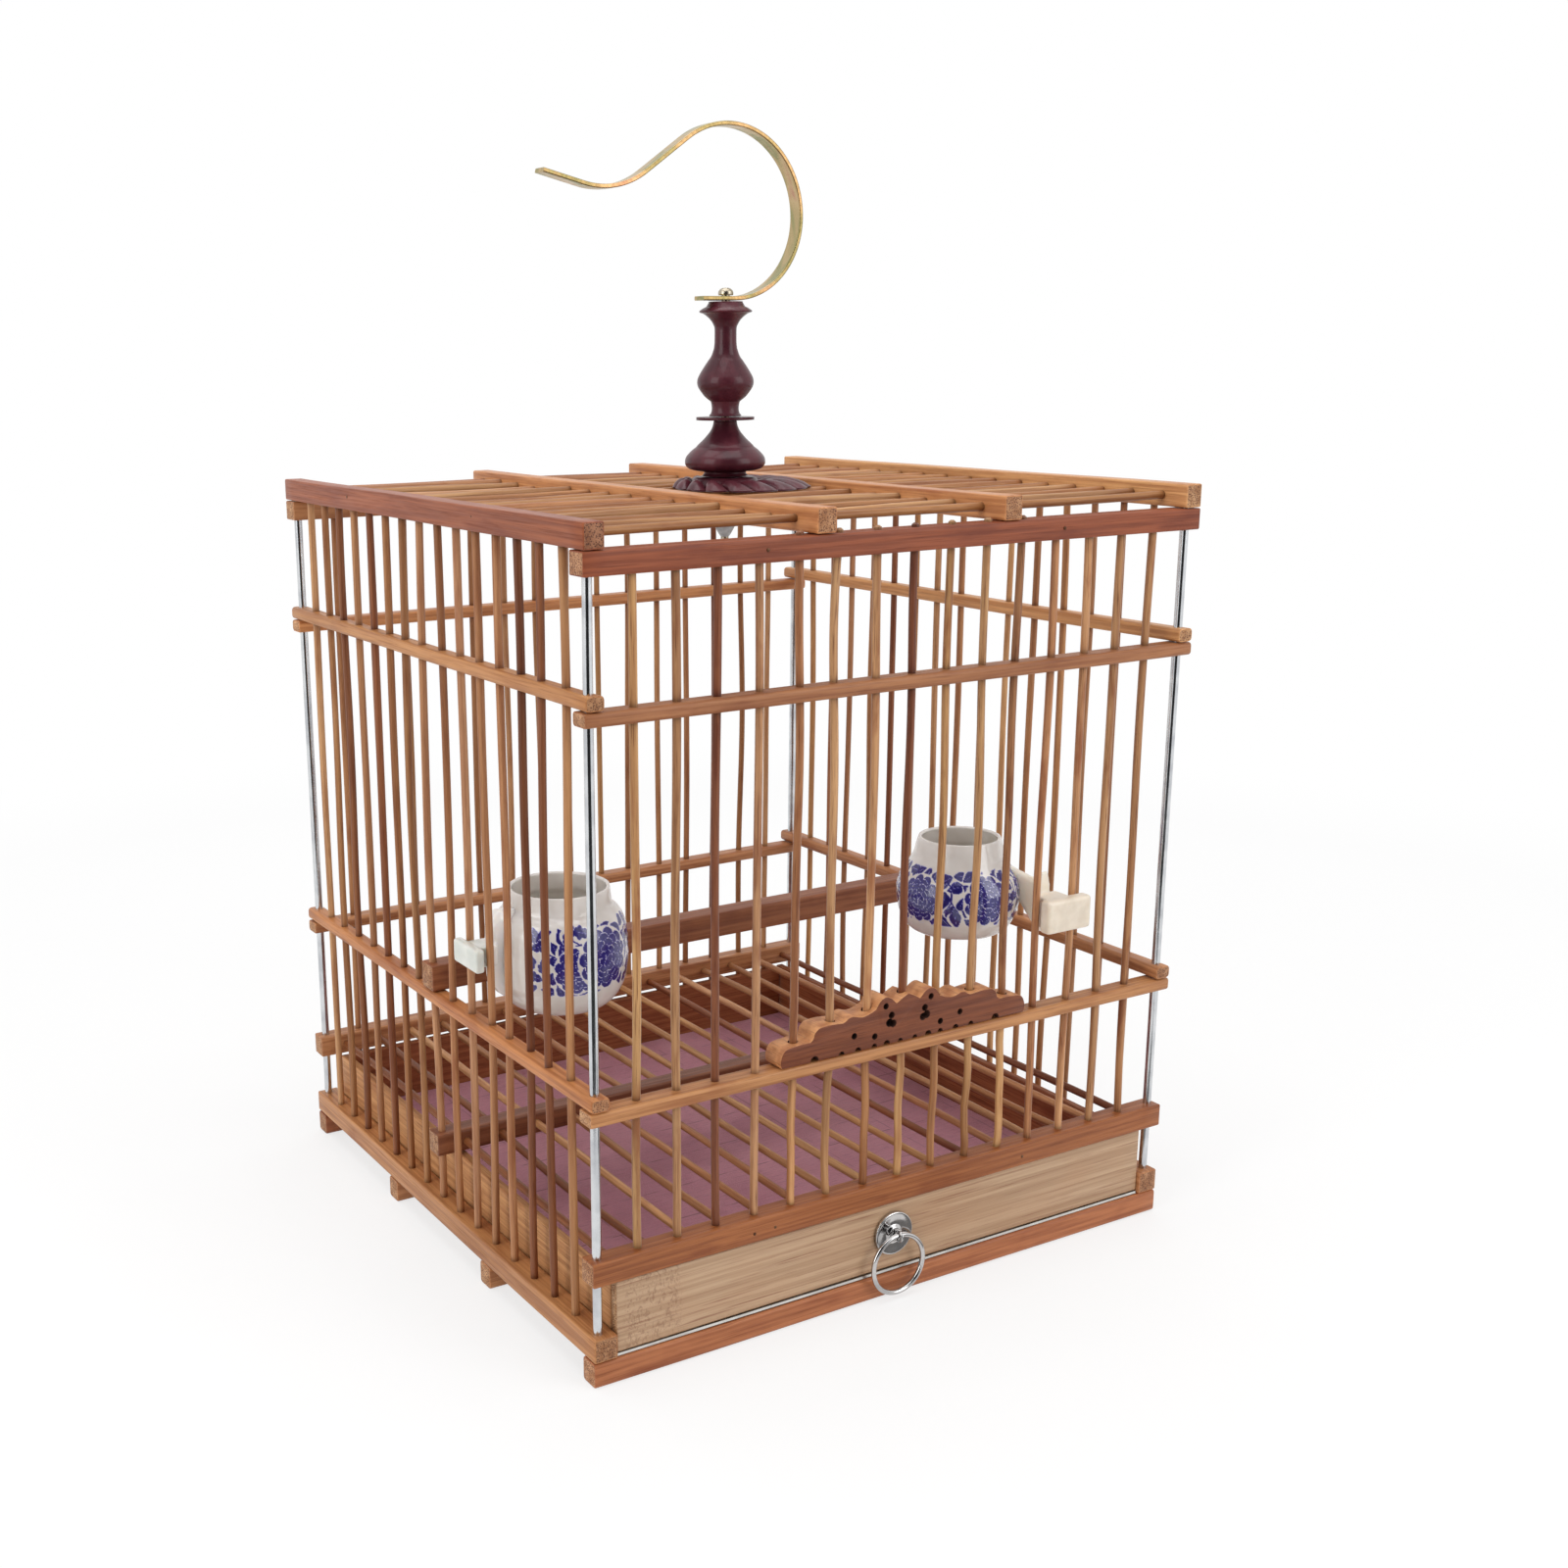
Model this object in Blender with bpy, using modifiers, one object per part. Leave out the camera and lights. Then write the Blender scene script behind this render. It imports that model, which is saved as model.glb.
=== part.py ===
"""A square bird cage of thin wooden rods, with a lift-up door, a tray, two cups and a swivelling hook.

Lengths are in metres and +Z is up. The cage's own frame has its origin under the middle of the wooden
body, with the door at the front, towards -Y. CAGE_FRAME shifts it so that the whole cage is centred over
the origin.
"""

import math

import bmesh
import bpy
from mathutils import Matrix, Vector

# Outer size of the wooden body
BODY_WIDTH = 0.215
BODY_DEPTH = 0.210
BODY_HEIGHT = 0.240

# Fits and small edges
FIT_GAP = 0.0003
RUNNING_GAP = 0.0004
OVERRUN = 0.001
EDGE_ROUND = 0.0005
WELD_DISTANCE = 0.00001

# Wooden rods
ROD_RADIUS = 0.00125
ROD_SIDES = 6
WALL_ROD_COUNT = 15
ROOF_ROD_COUNT = 16
FLOOR_ROD_COUNT = 16
SIDE_ROD_INSET = 0.0029
FRONT_ROD_INSET = 0.0034
BASE_SOCKET_DEPTH = 0.003
ROOF_SOCKET_DEPTH = 0.002
FLOOR_SOCKET_DEPTH = 0.0015

# Steel corner rods
CORNER_ROD_RADIUS = 0.00135
CORNER_SOCKET_DEPTH = 0.005
CORNER_ROOF_SOCKET_DEPTH = 0.003

# Roof rails
ROOF_RAIL_HEIGHT = 0.007
ROOF_RAIL_WIDTH = 0.0063
INNER_ROOF_RAIL_WIDTH = 0.0065
INNER_ROOF_RAIL_PITCH_SHARE = 2.5

# Rails over the front and back walls, under the roof rails
TOP_RAIL_HEIGHT = 0.0064
TOP_RAIL_DEPTH = 0.0076

# Rings of thin rails round the walls, with the side rails lying on the cross rails. The upper ring lies a
# set drop below the body's top.
UPPER_RING_DROP = 0.0523
LOWER_RING_BOTTOM = 0.0781
RING_CROSS_HEIGHT = 0.0040
RING_SIDE_HEIGHT = 0.0041
RING_CROSS_DEPTH = 0.0070
RING_SIDE_WIDTH = 0.0058

# Floor rails and the bar under the perch
FLOOR_RAIL_BOTTOM = 0.0307
FLOOR_RAIL_HEIGHT = 0.0073
FLOOR_RAIL_DEPTH = 0.007
FLOOR_BAR_DEPTH = 0.007

# Base
RUNNER_HEIGHT = 0.0074
RUNNER_DEPTH = 0.007
RUNNER_ROUND = 0.0012
INNER_RUNNER_OFFSET = 0.0355
BASE_RAIL_HEIGHT = 0.0073
BASE_RAIL_WIDTH = 0.0075

# Perch
PERCH_HEIGHT = 0.0085
PERCH_DEPTH = 0.008

# Door
DOOR_ROD_COUNT = 7
DOOR_BLOCK_DEPTH = 0.008
DOOR_BLOCK_HEIGHT = 0.0149
DOOR_BLOCK_RAIL_OVERLAP = 0.0065
DOOR_SOCKET_FLOOR = 0.001
DOOR_ROD_PROUD = 0.0012
DOOR_HOLE_RADIUS = 0.0010
DOOR_SLOT_RADIUS = 0.0013
DOOR_SLOT_LENGTH = 0.0024
DOOR_NOTCH_RADIUS = 0.0008
# Half of the carved top edge, from the middle outwards: share of the half width, share of the height
DOOR_EDGE_SHARES = [
    (0.0, 0.98), (0.06, 0.89), (0.096, 0.83), (0.136, 0.94), (0.182, 1.0), (0.225, 0.94),
    (0.263, 0.79), (0.306, 0.73), (0.372, 0.70), (0.438, 0.75), (0.481, 0.73), (0.525, 0.665),
    (0.635, 0.685), (0.70, 0.67), (0.744, 0.57), (0.772, 0.42), (0.875, 0.415), (0.952, 0.40),
    (0.993, 0.27), (1.0, 0.13), (0.989, 0.0),
]
# Round holes, slots and bottom notches of one half, as shares of the half width and of the height
DOOR_HOLE_SHARES = [(0.184, 0.81), (0.433, 0.34), (0.269, 0.235)]
DOOR_SLOT_SHARES = [(0.080, 0.50)]
DOOR_NOTCH_SHARES = [0.17, 0.36, 0.50, 0.72]

# Tray under the floor
DRAWER_FRONT_RECESS = 0.001
DRAWER_FRONT_THICKNESS = 0.0035
DRAWER_WALL = 0.003
DRAWER_SIDE_DROP = 0.0009
DRAWER_PLATE_THICKNESS = 0.0008
DRAWER_LINER_THICKNESS = 0.0006
DRAWER_BACK_GAP = 0.0005

# Ring pull of the tray
PULL_OFFSET_X = -0.003
PULL_HEIGHT = 0.0205
ROSETTE_RADIUS = 0.0065
ROSETTE_RIM = 0.0004
ROSETTE_DOME = 0.0009
EYE_SHANK_RADIUS = 0.0006
EYE_SHANK_TAIL = 0.0015
EYE_LOOP_RADIUS = 0.0015
EYE_WIRE_RADIUS = 0.00045
PULL_RING_RADIUS = 0.00895
PULL_WIRE_RADIUS = 0.0007
EYE_STEPS = 12
RING_STEPS = 24

# Finial on the roof, and the bolt that holds it
FINIAL_X = 0.0025
FINIAL_Y = -0.0020
BOLT_RADIUS = 0.0013
BOLT_HEAD_RADIUS = 0.0024
BOLT_HEAD_HEIGHT = 0.0023
BOLT_TAIL = 0.0085
PETAL_COUNT = 16
PETAL_STEPS = 2
PETAL_RADIUS = 0.0226
PETAL_OFFSET_X = 0.0034
PETAL_OFFSET_Y = -0.0045
PETAL_NOTCH = 0.0016
PETAL_RIM_THICKNESS = 0.0006
PETAL_CROWN = 0.0018
PETAL_HUB_RADIUS = 0.0115
PETAL_HUB_HEIGHT = 0.0034
BASE_KNOB_RADIUS = 0.0129
BASE_KNOB_HEIGHT = 0.0173
DISC_RADIUS = 0.0093
DISC_THICKNESS = 0.0009
STEM_RADIUS = 0.0090
STEM_HEIGHT = 0.0352
# Turned outlines from top to bottom: share of the largest radius, share of the height
BASE_KNOB_SHARES = [
    (0.29, 1.0), (0.30, 0.94), (0.375, 0.81), (0.54, 0.665), (0.70, 0.55), (0.83, 0.465), (0.975, 0.345),
    (1.0, 0.27), (0.91, 0.14), (0.74, 0.105), (0.52, 0.09), (0.52, 0.0),
]
STEM_SHARES = [
    (0.60, 1.0), (0.69, 0.955), (0.91, 0.92), (0.78, 0.90), (0.51, 0.84), (0.39, 0.79), (0.39, 0.70),
    (0.41, 0.60), (0.50, 0.53), (0.71, 0.455), (0.87, 0.39), (1.0, 0.325), (1.0, 0.285), (0.90, 0.23),
    (0.72, 0.17), (0.51, 0.125), (0.48, 0.065), (0.56, 0.0),
]
WASHER_RADIUS = 0.009
WASHER_THICKNESS = 0.0012
NUT_RADIUS = 0.0055
NUT_HEIGHT = 0.0115
NUT_SHARES = [(1.0, 1.0), (1.0, 0.88), (0.76, 0.52), (0.58, 0.31), (0.10, 0.0)]

# Hook bent from a flat strip
HOOK_WIDTH = 0.0055
HOOK_THICKNESS = 0.0013
HOOK_FOOT_BACK = 0.0099
HOOK_FOOT_FRONT = 0.0022
HOOK_LOWER_RADIUS = 0.0247
HOOK_UPPER_RADIUS = 0.0270
HOOK_TAIL_RADIUS = 0.0270
HOOK_SHOULDER = 0.018
HOOK_TIP = 0.014
HOOK_LOWER_TURN = 90.0
HOOK_UPPER_TURN = 124.6
HOOK_TAIL_TURN = 48.0
HOOK_TURN_STEP = 12.0

# Cups: both hang on the rods by an ear whose plate lies outside the wall. The water cup's ear leans to the
# right, and its arm meets the cup a few degrees off the straight line to its middle.
CUP_STEPS = 20
CUP_WALL = 0.0018
EAR_PLATE_GAP = 0.0004
EAR_ROD_GAP = 0.0005
EAR_PLATE_ROUND = 0.0010
FOOD_CUP_OFFSET_Y = -0.03175
FOOD_CUP_REACH = 0.0276
FOOD_CUP_BOTTOM = 0.0860
FOOD_CUP_HEIGHT = 0.038
FOOD_CUP_RADIUS = 0.021
FOOD_EAR_BOTTOM = 0.1033
FOOD_EAR_HEIGHT = 0.0073
FOOD_EAR_WIDTH = 0.016
FOOD_EAR_THICKNESS = 0.003
FOOD_ARM_WIDTH = 0.006
FOOD_CUP_SHARES = [
    (0.74, 1.0), (0.765, 0.87), (0.88, 0.80), (0.955, 0.72), (1.0, 0.56), (1.0, 0.42), (0.965, 0.26),
    (0.88, 0.12), (0.70, 0.0),
]
WATER_CUP_X = 0.0427
WATER_CUP_REACH = 0.0261
WATER_CUP_BOTTOM = 0.1024
WATER_CUP_HEIGHT = 0.0299
WATER_CUP_RADIUS = 0.0193
WATER_CUP_BAY = 4
WATER_EAR_BOTTOM = 0.1065
WATER_EAR_HEIGHT = 0.0105
WATER_EAR_WIDTH = 0.0175
WATER_EAR_OFFSET = 0.0013
WATER_EAR_THICKNESS = 0.0044
WATER_ARM_WIDTH = 0.004
WATER_ARM_TURN = 12.0
WATER_CUP_SHARES = [
    (0.67, 1.0), (0.70, 0.915), (0.75, 0.81), (0.85, 0.70), (0.95, 0.60), (1.0, 0.48), (0.99, 0.34),
    (0.93, 0.17), (0.84, 0.07), (0.70, 0.0),
]
# The arm's low and high edge at the wall and at the cup, as shares of the cup's height
FOOD_ARM_SHARES = [(0.29, 0.84), (0.10, 0.95)]
WATER_ARM_SHARES = [(0.05, 0.75), (0.42, 0.72)]
ARM_DEPTH_SHARE = 0.72
TURNED_STEPS = 16
BOLT_STEPS = 12

# Heights and planes worked out from the sizes above
HALF_WIDTH = BODY_WIDTH / 2
HALF_DEPTH = BODY_DEPTH / 2
WALL_X = HALF_WIDTH - SIDE_ROD_INSET
WALL_Y = HALF_DEPTH - FRONT_ROD_INSET
PITCH_X = 2 * WALL_X / (WALL_ROD_COUNT + 1)
PITCH_Y = 2 * WALL_Y / (WALL_ROD_COUNT + 1)
HOLE_RADIUS = ROD_RADIUS + FIT_GAP
CORNER_HOLE_RADIUS = CORNER_ROD_RADIUS + FIT_GAP

BASE_RAIL_BOTTOM = RUNNER_HEIGHT + FIT_GAP
BASE_RAIL_TOP = BASE_RAIL_BOTTOM + BASE_RAIL_HEIGHT
FLOOR_RAIL_TOP = FLOOR_RAIL_BOTTOM + FLOOR_RAIL_HEIGHT
FLOOR_ROD_HEIGHT = FLOOR_RAIL_BOTTOM + FLOOR_RAIL_HEIGHT / 2
UPPER_RING_BOTTOM = BODY_HEIGHT - UPPER_RING_DROP
LOWER_CROSS_TOP = LOWER_RING_BOTTOM + RING_CROSS_HEIGHT
LOWER_SIDE_BOTTOM = LOWER_CROSS_TOP + FIT_GAP
LOWER_SIDE_TOP = LOWER_SIDE_BOTTOM + RING_SIDE_HEIGHT
UPPER_CROSS_TOP = UPPER_RING_BOTTOM + RING_CROSS_HEIGHT
UPPER_SIDE_BOTTOM = UPPER_CROSS_TOP + FIT_GAP
UPPER_SIDE_TOP = UPPER_SIDE_BOTTOM + RING_SIDE_HEIGHT
ROOF_RAIL_BOTTOM = BODY_HEIGHT - ROOF_RAIL_HEIGHT
ROOF_ROD_HEIGHT = BODY_HEIGHT - ROOF_RAIL_HEIGHT / 2
TOP_RAIL_TOP = ROOF_RAIL_BOTTOM - FIT_GAP
TOP_RAIL_BOTTOM = TOP_RAIL_TOP - TOP_RAIL_HEIGHT
ROOF_RAIL_INNER_X = HALF_WIDTH - ROOF_RAIL_WIDTH
FLOOR_RAIL_INNER_Y = HALF_DEPTH - FLOOR_RAIL_DEPTH
DOOR_HALF_WIDTH = PITCH_X * (DOOR_ROD_COUNT - 1) / 2 + DOOR_BLOCK_RAIL_OVERLAP
DOOR_BLOCK_BOTTOM = LOWER_CROSS_TOP + FIT_GAP

DRAWER_HALF_WIDTH = HALF_WIDTH - BASE_RAIL_WIDTH - RUNNING_GAP
DRAWER_FRONT_Y = -HALF_DEPTH + DRAWER_FRONT_RECESS
DRAWER_BACK_Y = WALL_Y - ROD_RADIUS - DRAWER_BACK_GAP
DRAWER_PLATE_BOTTOM = RUNNER_HEIGHT + FIT_GAP
DRAWER_INSIDE_BOTTOM = DRAWER_PLATE_BOTTOM + DRAWER_PLATE_THICKNESS + FIT_GAP
DRAWER_TOP = FLOOR_RAIL_BOTTOM - FIT_GAP
ROSETTE_BACK_Y = DRAWER_FRONT_Y - FIT_GAP
EYE_LOOP_Y = ROSETTE_BACK_Y - ROSETTE_DOME - FIT_GAP - EYE_LOOP_RADIUS - EYE_WIRE_RADIUS

BOLT_HOLE_RADIUS = BOLT_RADIUS + FIT_GAP
PETAL_BOTTOM = ROOF_ROD_HEIGHT + ROD_RADIUS + FIT_GAP
BASE_KNOB_BOTTOM = PETAL_BOTTOM + PETAL_HUB_HEIGHT + FIT_GAP
DISC_BOTTOM = BASE_KNOB_BOTTOM + BASE_KNOB_HEIGHT + FIT_GAP
STEM_BOTTOM = DISC_BOTTOM + DISC_THICKNESS + FIT_GAP
HOOK_FOOT_BOTTOM = STEM_BOTTOM + STEM_HEIGHT + FIT_GAP
BOLT_HEAD_BOTTOM = HOOK_FOOT_BOTTOM + HOOK_THICKNESS + FIT_GAP
WASHER_TOP = ROOF_ROD_HEIGHT - ROD_RADIUS - FIT_GAP
NUT_TOP = WASHER_TOP - WASHER_THICKNESS - FIT_GAP
BOLT_BOTTOM = NUT_TOP - BOLT_TAIL

FOOD_PLATE_INNER_X = -WALL_X - ROD_RADIUS - EAR_PLATE_GAP
WATER_PLATE_INNER_Y = -WALL_Y - ROD_RADIUS - EAR_PLATE_GAP
SIDE_OVERHANG = max(0, -FOOD_PLATE_INNER_X + FOOD_EAR_THICKNESS - HALF_WIDTH)
FRONT_OVERHANG = max(
    0,
    -WATER_PLATE_INNER_Y + WATER_EAR_THICKNESS - HALF_DEPTH,
    -EYE_LOOP_Y + EYE_LOOP_RADIUS + EYE_WIRE_RADIUS - HALF_DEPTH,
)

# Colour, roughness and metallic value of each material
MATERIALS = {
    "pale_wood": ((0.50, 0.28, 0.12), 0.45, 0.0),
    "red_brown_wood": ((0.33, 0.13, 0.05), 0.42, 0.0),
    "dark_wood": ((0.13, 0.05, 0.022), 0.5, 0.0),
    "bamboo_rod": ((0.43, 0.22, 0.095), 0.45, 0.0),
    "carved_wood": ((0.36, 0.13, 0.06), 0.4, 0.0),
    "tray_wood": ((0.55, 0.34, 0.17), 0.5, 0.0),
    "lacquered_wood": ((0.16, 0.018, 0.014), 0.18, 0.0),
    "mauve_liner": ((0.52, 0.40, 0.44), 0.8, 0.0),
    "steel": ((0.60, 0.60, 0.60), 0.3, 1.0),
    "bright_metal": ((0.64, 0.64, 0.65), 0.2, 1.0),
    "zinc_plate": ((0.62, 0.58, 0.46), 0.28, 1.0),
    "white_china": ((0.82, 0.83, 0.86), 0.12, 0.0),
    "grey_plastic": ((0.30, 0.30, 0.31), 0.4, 0.0),
}


def clear_scene():
    for thing in list(bpy.data.objects):
        bpy.data.objects.remove(thing, do_unlink=True)


def new_collection(name):
    group = bpy.data.collections.new(name)
    bpy.context.scene.collection.children.link(group)
    return group


def paint(name):
    """The material of this name, made on first use."""
    surface = bpy.data.materials.get(name)
    if surface is None:
        colour, roughness, metallic = MATERIALS[name]
        surface = bpy.data.materials.new(name)
        surface.use_nodes = True
        shader = surface.node_tree.nodes["Principled BSDF"]
        shader.inputs["Base Color"].default_value = (*colour, 1.0)
        shader.inputs["Roughness"].default_value = roughness
        shader.inputs["Metallic"].default_value = metallic
    return surface


clear_scene()
CAGE = new_collection("bird_cage")
GUIDES = new_collection("guides")


def pivot(name, place, parent=None):
    """An empty at a place in the cage's frame, on the axis of what moves with it."""
    empty = bpy.data.objects.new(name, None)
    CAGE.objects.link(empty)
    empty.parent = parent
    empty.location = Vector(place) - cage_place(parent)
    return empty


def cage_place(empty):
    """Where an empty lies in the cage's own frame."""
    place = Vector((0, 0, 0))
    while empty is not None and empty.parent is not None:
        place += empty.location
        empty = empty.parent
    return place


CAGE_FRAME = pivot("cage_frame", (SIDE_OVERHANG / 2, FRONT_OVERHANG / 2, 0))


def settle(thing, place, surface=None, parent=None):
    """Put an object at a place in the cage's frame. Without a surface it is a guide."""
    parent = parent or CAGE_FRAME
    thing.parent = parent
    thing.location = Vector(place) - cage_place(parent)
    if surface is None:
        GUIDES.objects.link(thing)
        thing.hide_render = True
        thing.display_type = "WIRE"
    else:
        CAGE.objects.link(thing)
        thing.data.materials.append(paint(surface))
    return thing


def solid(name, shape, place, surface=None, parent=None):
    """An object made of a bmesh."""
    mesh = bpy.data.meshes.new(name)
    shape.to_mesh(mesh)
    shape.free()
    mesh.shade_smooth()
    mesh.set_sharp_from_angle(angle=math.radians(40))
    return settle(bpy.data.objects.new(name, mesh), place, surface, parent)


def box(name, low, high, surface=None, parent=None, rounding=EDGE_ROUND):
    """A box between two corners, with small rounded edges and its origin at its middle."""
    low = Vector(low)
    high = Vector(high)
    shape = bmesh.new()
    bmesh.ops.create_cube(shape, size=1.0)
    bmesh.ops.scale(shape, vec=high - low, verts=shape.verts)
    thing = solid(name, shape, (low + high) / 2, surface, parent)
    if rounding:
        edges = thing.modifiers.new("rounded edges", "BEVEL")
        edges.width = rounding
        edges.segments = 1
    return thing


def rods(name, runs, radius, surface=None, parent=None, sides=ROD_SIDES):
    """Round rods along runs from one point to another. The origin is the middle of the first."""
    middle = (Vector(runs[0][0]) + Vector(runs[0][1])) / 2
    shape = bmesh.new()
    for start, end in runs:
        start = Vector(start) - middle
        end = Vector(end) - middle
        turn = Vector((0, 0, 1)).rotation_difference(end - start).to_matrix().to_4x4()
        bmesh.ops.create_cone(
            shape, cap_ends=True, segments=sides, radius1=radius, radius2=radius,
            depth=(end - start).length, matrix=Matrix.Translation((start + end) / 2) @ turn)
    return solid(name, shape, middle, surface, parent)


def combine(thing, tool, operation):
    modifier = thing.modifiers.new(tool.name, "BOOLEAN")
    modifier.operation = operation
    modifier.object = tool


def join(thing, tool):
    combine(thing, tool, "UNION")


def cut(thing, tool):
    combine(thing, tool, "DIFFERENCE")


def bore(thing, runs, radius, sides=ROD_SIDES):
    """Drill holes of one radius along the runs."""
    cut(thing, rods(thing.name + "_bores", runs, radius, parent=thing.parent, sides=sides))


def upright(places, low, high):
    """A vertical run at each (x, y) place."""
    return [((x, y, low), (x, y, high)) for x, y in places]


def turned(name, outline, place, surface=None, parent=None, bore_radius=0, steps=TURNED_STEPS):
    """A solid turned about Z from (radius, height) points that run from top to bottom outside.

    With a bore radius the outline is closed along the bore, and otherwise its ends lie on the axis.
    """
    points = list(outline)
    if points[0][0] > bore_radius:
        points.insert(0, (bore_radius, points[0][1]))
    if points[-1][0] > bore_radius:
        points.append((bore_radius, points[-1][1]))
    mesh = bpy.data.meshes.new(name)
    corners = [(radius, 0, height) for radius, height in points]
    edges = [(index, index + 1) for index in range(len(points) - 1)]
    if bore_radius:
        edges.append((len(points) - 1, 0))
    mesh.from_pydata(corners, edges, [])
    thing = settle(bpy.data.objects.new(name, mesh), place, surface, parent)
    screw = thing.modifiers.new("turned", "SCREW")
    screw.steps = steps
    screw.render_steps = steps
    screw.use_merge_vertices = True
    screw.merge_threshold = WELD_DISTANCE
    return thing


def ring(name, major, minor, place, steps, surface, parent):
    """A torus round its own Z axis."""
    bpy.ops.mesh.primitive_torus_add(
        major_radius=major, minor_radius=minor, major_segments=steps, minor_segments=ROD_SIDES)
    made = bpy.context.object
    mesh = made.data
    bpy.data.objects.remove(made)
    mesh.shade_smooth()
    mesh.name = name
    return settle(bpy.data.objects.new(name, mesh), place, surface, parent)


def flat_outline(name, points, thickness, place, surface=None, parent=None):
    """A plate whose outline lies in the X-Z plane and whose thickness is along Y, as a mesh."""
    curve = bpy.data.curves.new(name, "CURVE")
    curve.dimensions = "2D"
    curve.fill_mode = "BOTH"
    curve.extrude = thickness / 2
    line = curve.splines.new("POLY")
    line.points.add(len(points) - 1)
    for point, (x, y) in zip(line.points, points):
        point.co = (x, y, 0, 1)
    line.use_cyclic_u = True
    drawn = bpy.data.objects.new(name + "_outline", curve)
    GUIDES.objects.link(drawn)
    bpy.context.view_layer.update()
    mesh = bpy.data.meshes.new_from_object(drawn.evaluated_get(bpy.context.evaluated_depsgraph_get()))
    bpy.data.objects.remove(drawn)
    bpy.data.curves.remove(curve)
    shape = bmesh.new()
    shape.from_mesh(mesh)
    bpy.data.meshes.remove(mesh)
    bmesh.ops.remove_doubles(shape, verts=shape.verts, dist=WELD_DISTANCE)
    bmesh.ops.rotate(shape, verts=shape.verts, matrix=Matrix.Rotation(math.radians(90), 3, "X"))
    return solid(name, shape, place, surface, parent)


def loft(name, sections, place, surface=None, parent=None):
    """A solid through sections of equal counts of points, each a closed loop, listed along the loft."""
    shape = bmesh.new()
    loops = [[shape.verts.new(point) for point in section] for section in sections]
    count = len(loops[0])
    for first, second in zip(loops, loops[1:]):
        for index in range(count):
            after = (index + 1) % count
            shape.faces.new((first[index], first[after], second[after], second[index]))
    shape.faces.new(list(reversed(loops[0])))
    shape.faces.new(loops[-1])
    bmesh.ops.recalc_face_normals(shape, faces=shape.faces)
    return solid(name, shape, place, surface, parent)


def scaled(shares, radius, height, bottom=0):
    """Points of an outline from its shares of a radius and a height."""
    return [(share_x * radius, bottom + share_z * height) for share_x, share_z in shares]


def rod_places(pitch, count):
    """Evenly spaced places, centred on zero."""
    return [pitch * (index - (count - 1) / 2) for index in range(count)]


WALL_PLACES_X = rod_places(PITCH_X, WALL_ROD_COUNT)
WALL_PLACES_Y = rod_places(PITCH_Y, WALL_ROD_COUNT)
FLOOR_PLACES_X = rod_places(PITCH_X, FLOOR_ROD_COUNT)
DOOR_PLACES_X = rod_places(PITCH_X, DOOR_ROD_COUNT)
FIXED_PLACES_X = [x for x in WALL_PLACES_X if abs(x) > DOOR_HALF_WIDTH]
CORNERS = [(x, y) for x in (-WALL_X, WALL_X) for y in (-WALL_Y, WALL_Y)]


MIDDLE_SIDE_RODS = [(-WALL_X, 0), (WALL_X, 0)]


def in_front(places):
    return [(x, -WALL_Y) for x in places]


def at_back(places):
    return [(x, WALL_Y) for x in places]


def at_side(side, places):
    return [(side * WALL_X, y) for y in places]


def drill_corners(thing, low, high):
    """Holes for the corner rods through a rail between two heights."""
    reach = [corner for corner in CORNERS if corner_is_in(thing, corner)]
    bore(thing, upright(reach, low, high), CORNER_HOLE_RADIUS)


def corner_is_in(thing, corner):
    """Whether the corner rod's axis passes through the rail, which lies square to the axes."""
    middle = cage_place(thing.parent) + thing.location
    half = [max(abs(vertex.co[axis]) for vertex in thing.data.vertices) for axis in range(2)]
    return all(abs(corner[axis] - middle[axis]) < half[axis] for axis in range(2))


def cross_rail(name, side, depth, low, high, surface):
    """A rail along X over the front wall (side -1) or the back wall (side 1)."""
    faces = sorted((side * HALF_DEPTH, side * (HALF_DEPTH - depth)))
    return box(name, (-HALF_WIDTH, faces[0], low), (HALF_WIDTH, faces[1], high), surface)


def side_rail(name, side, width, low, high, surface):
    """A rail along Y over the left wall (side -1) or the right wall (side 1)."""
    faces = sorted((side * HALF_WIDTH, side * (HALF_WIDTH - width)))
    return box(name, (faces[0], -HALF_DEPTH, low), (faces[1], HALF_DEPTH, high), surface)


def build_base():
    """Four runners across the cage and the two rails that stand on them."""
    outer = HALF_DEPTH - RUNNER_DEPTH / 2
    middles = {
        "runner_front": -outer,
        "runner_inner_front": -INNER_RUNNER_OFFSET,
        "runner_inner_back": INNER_RUNNER_OFFSET,
        "runner_back": outer,
    }
    for name, middle in middles.items():
        runner = box(
            name, (-HALF_WIDTH, middle - RUNNER_DEPTH / 2, 0),
            (HALF_WIDTH, middle + RUNNER_DEPTH / 2, RUNNER_HEIGHT), "red_brown_wood", rounding=RUNNER_ROUND)
        if abs(middle) > INNER_RUNNER_OFFSET:
            drill_corners(runner, RUNNER_HEIGHT - CORNER_SOCKET_DEPTH, RUNNER_HEIGHT + OVERRUN)
        if middle > INNER_RUNNER_OFFSET:
            low = RUNNER_HEIGHT - BASE_SOCKET_DEPTH
            bore(runner, upright(at_back(WALL_PLACES_X), low, RUNNER_HEIGHT + OVERRUN), HOLE_RADIUS)
    for name, side in (("base_rail_left", -1), ("base_rail_right", 1)):
        rail = side_rail(name, side, BASE_RAIL_WIDTH, BASE_RAIL_BOTTOM, BASE_RAIL_TOP, "pale_wood")
        drill_corners(rail, BASE_RAIL_BOTTOM - OVERRUN, BASE_RAIL_TOP + OVERRUN)
        low = BASE_RAIL_TOP - BASE_SOCKET_DEPTH
        bore(rail, upright(at_side(side, WALL_PLACES_Y), low, BASE_RAIL_TOP + OVERRUN), HOLE_RADIUS)


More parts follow.
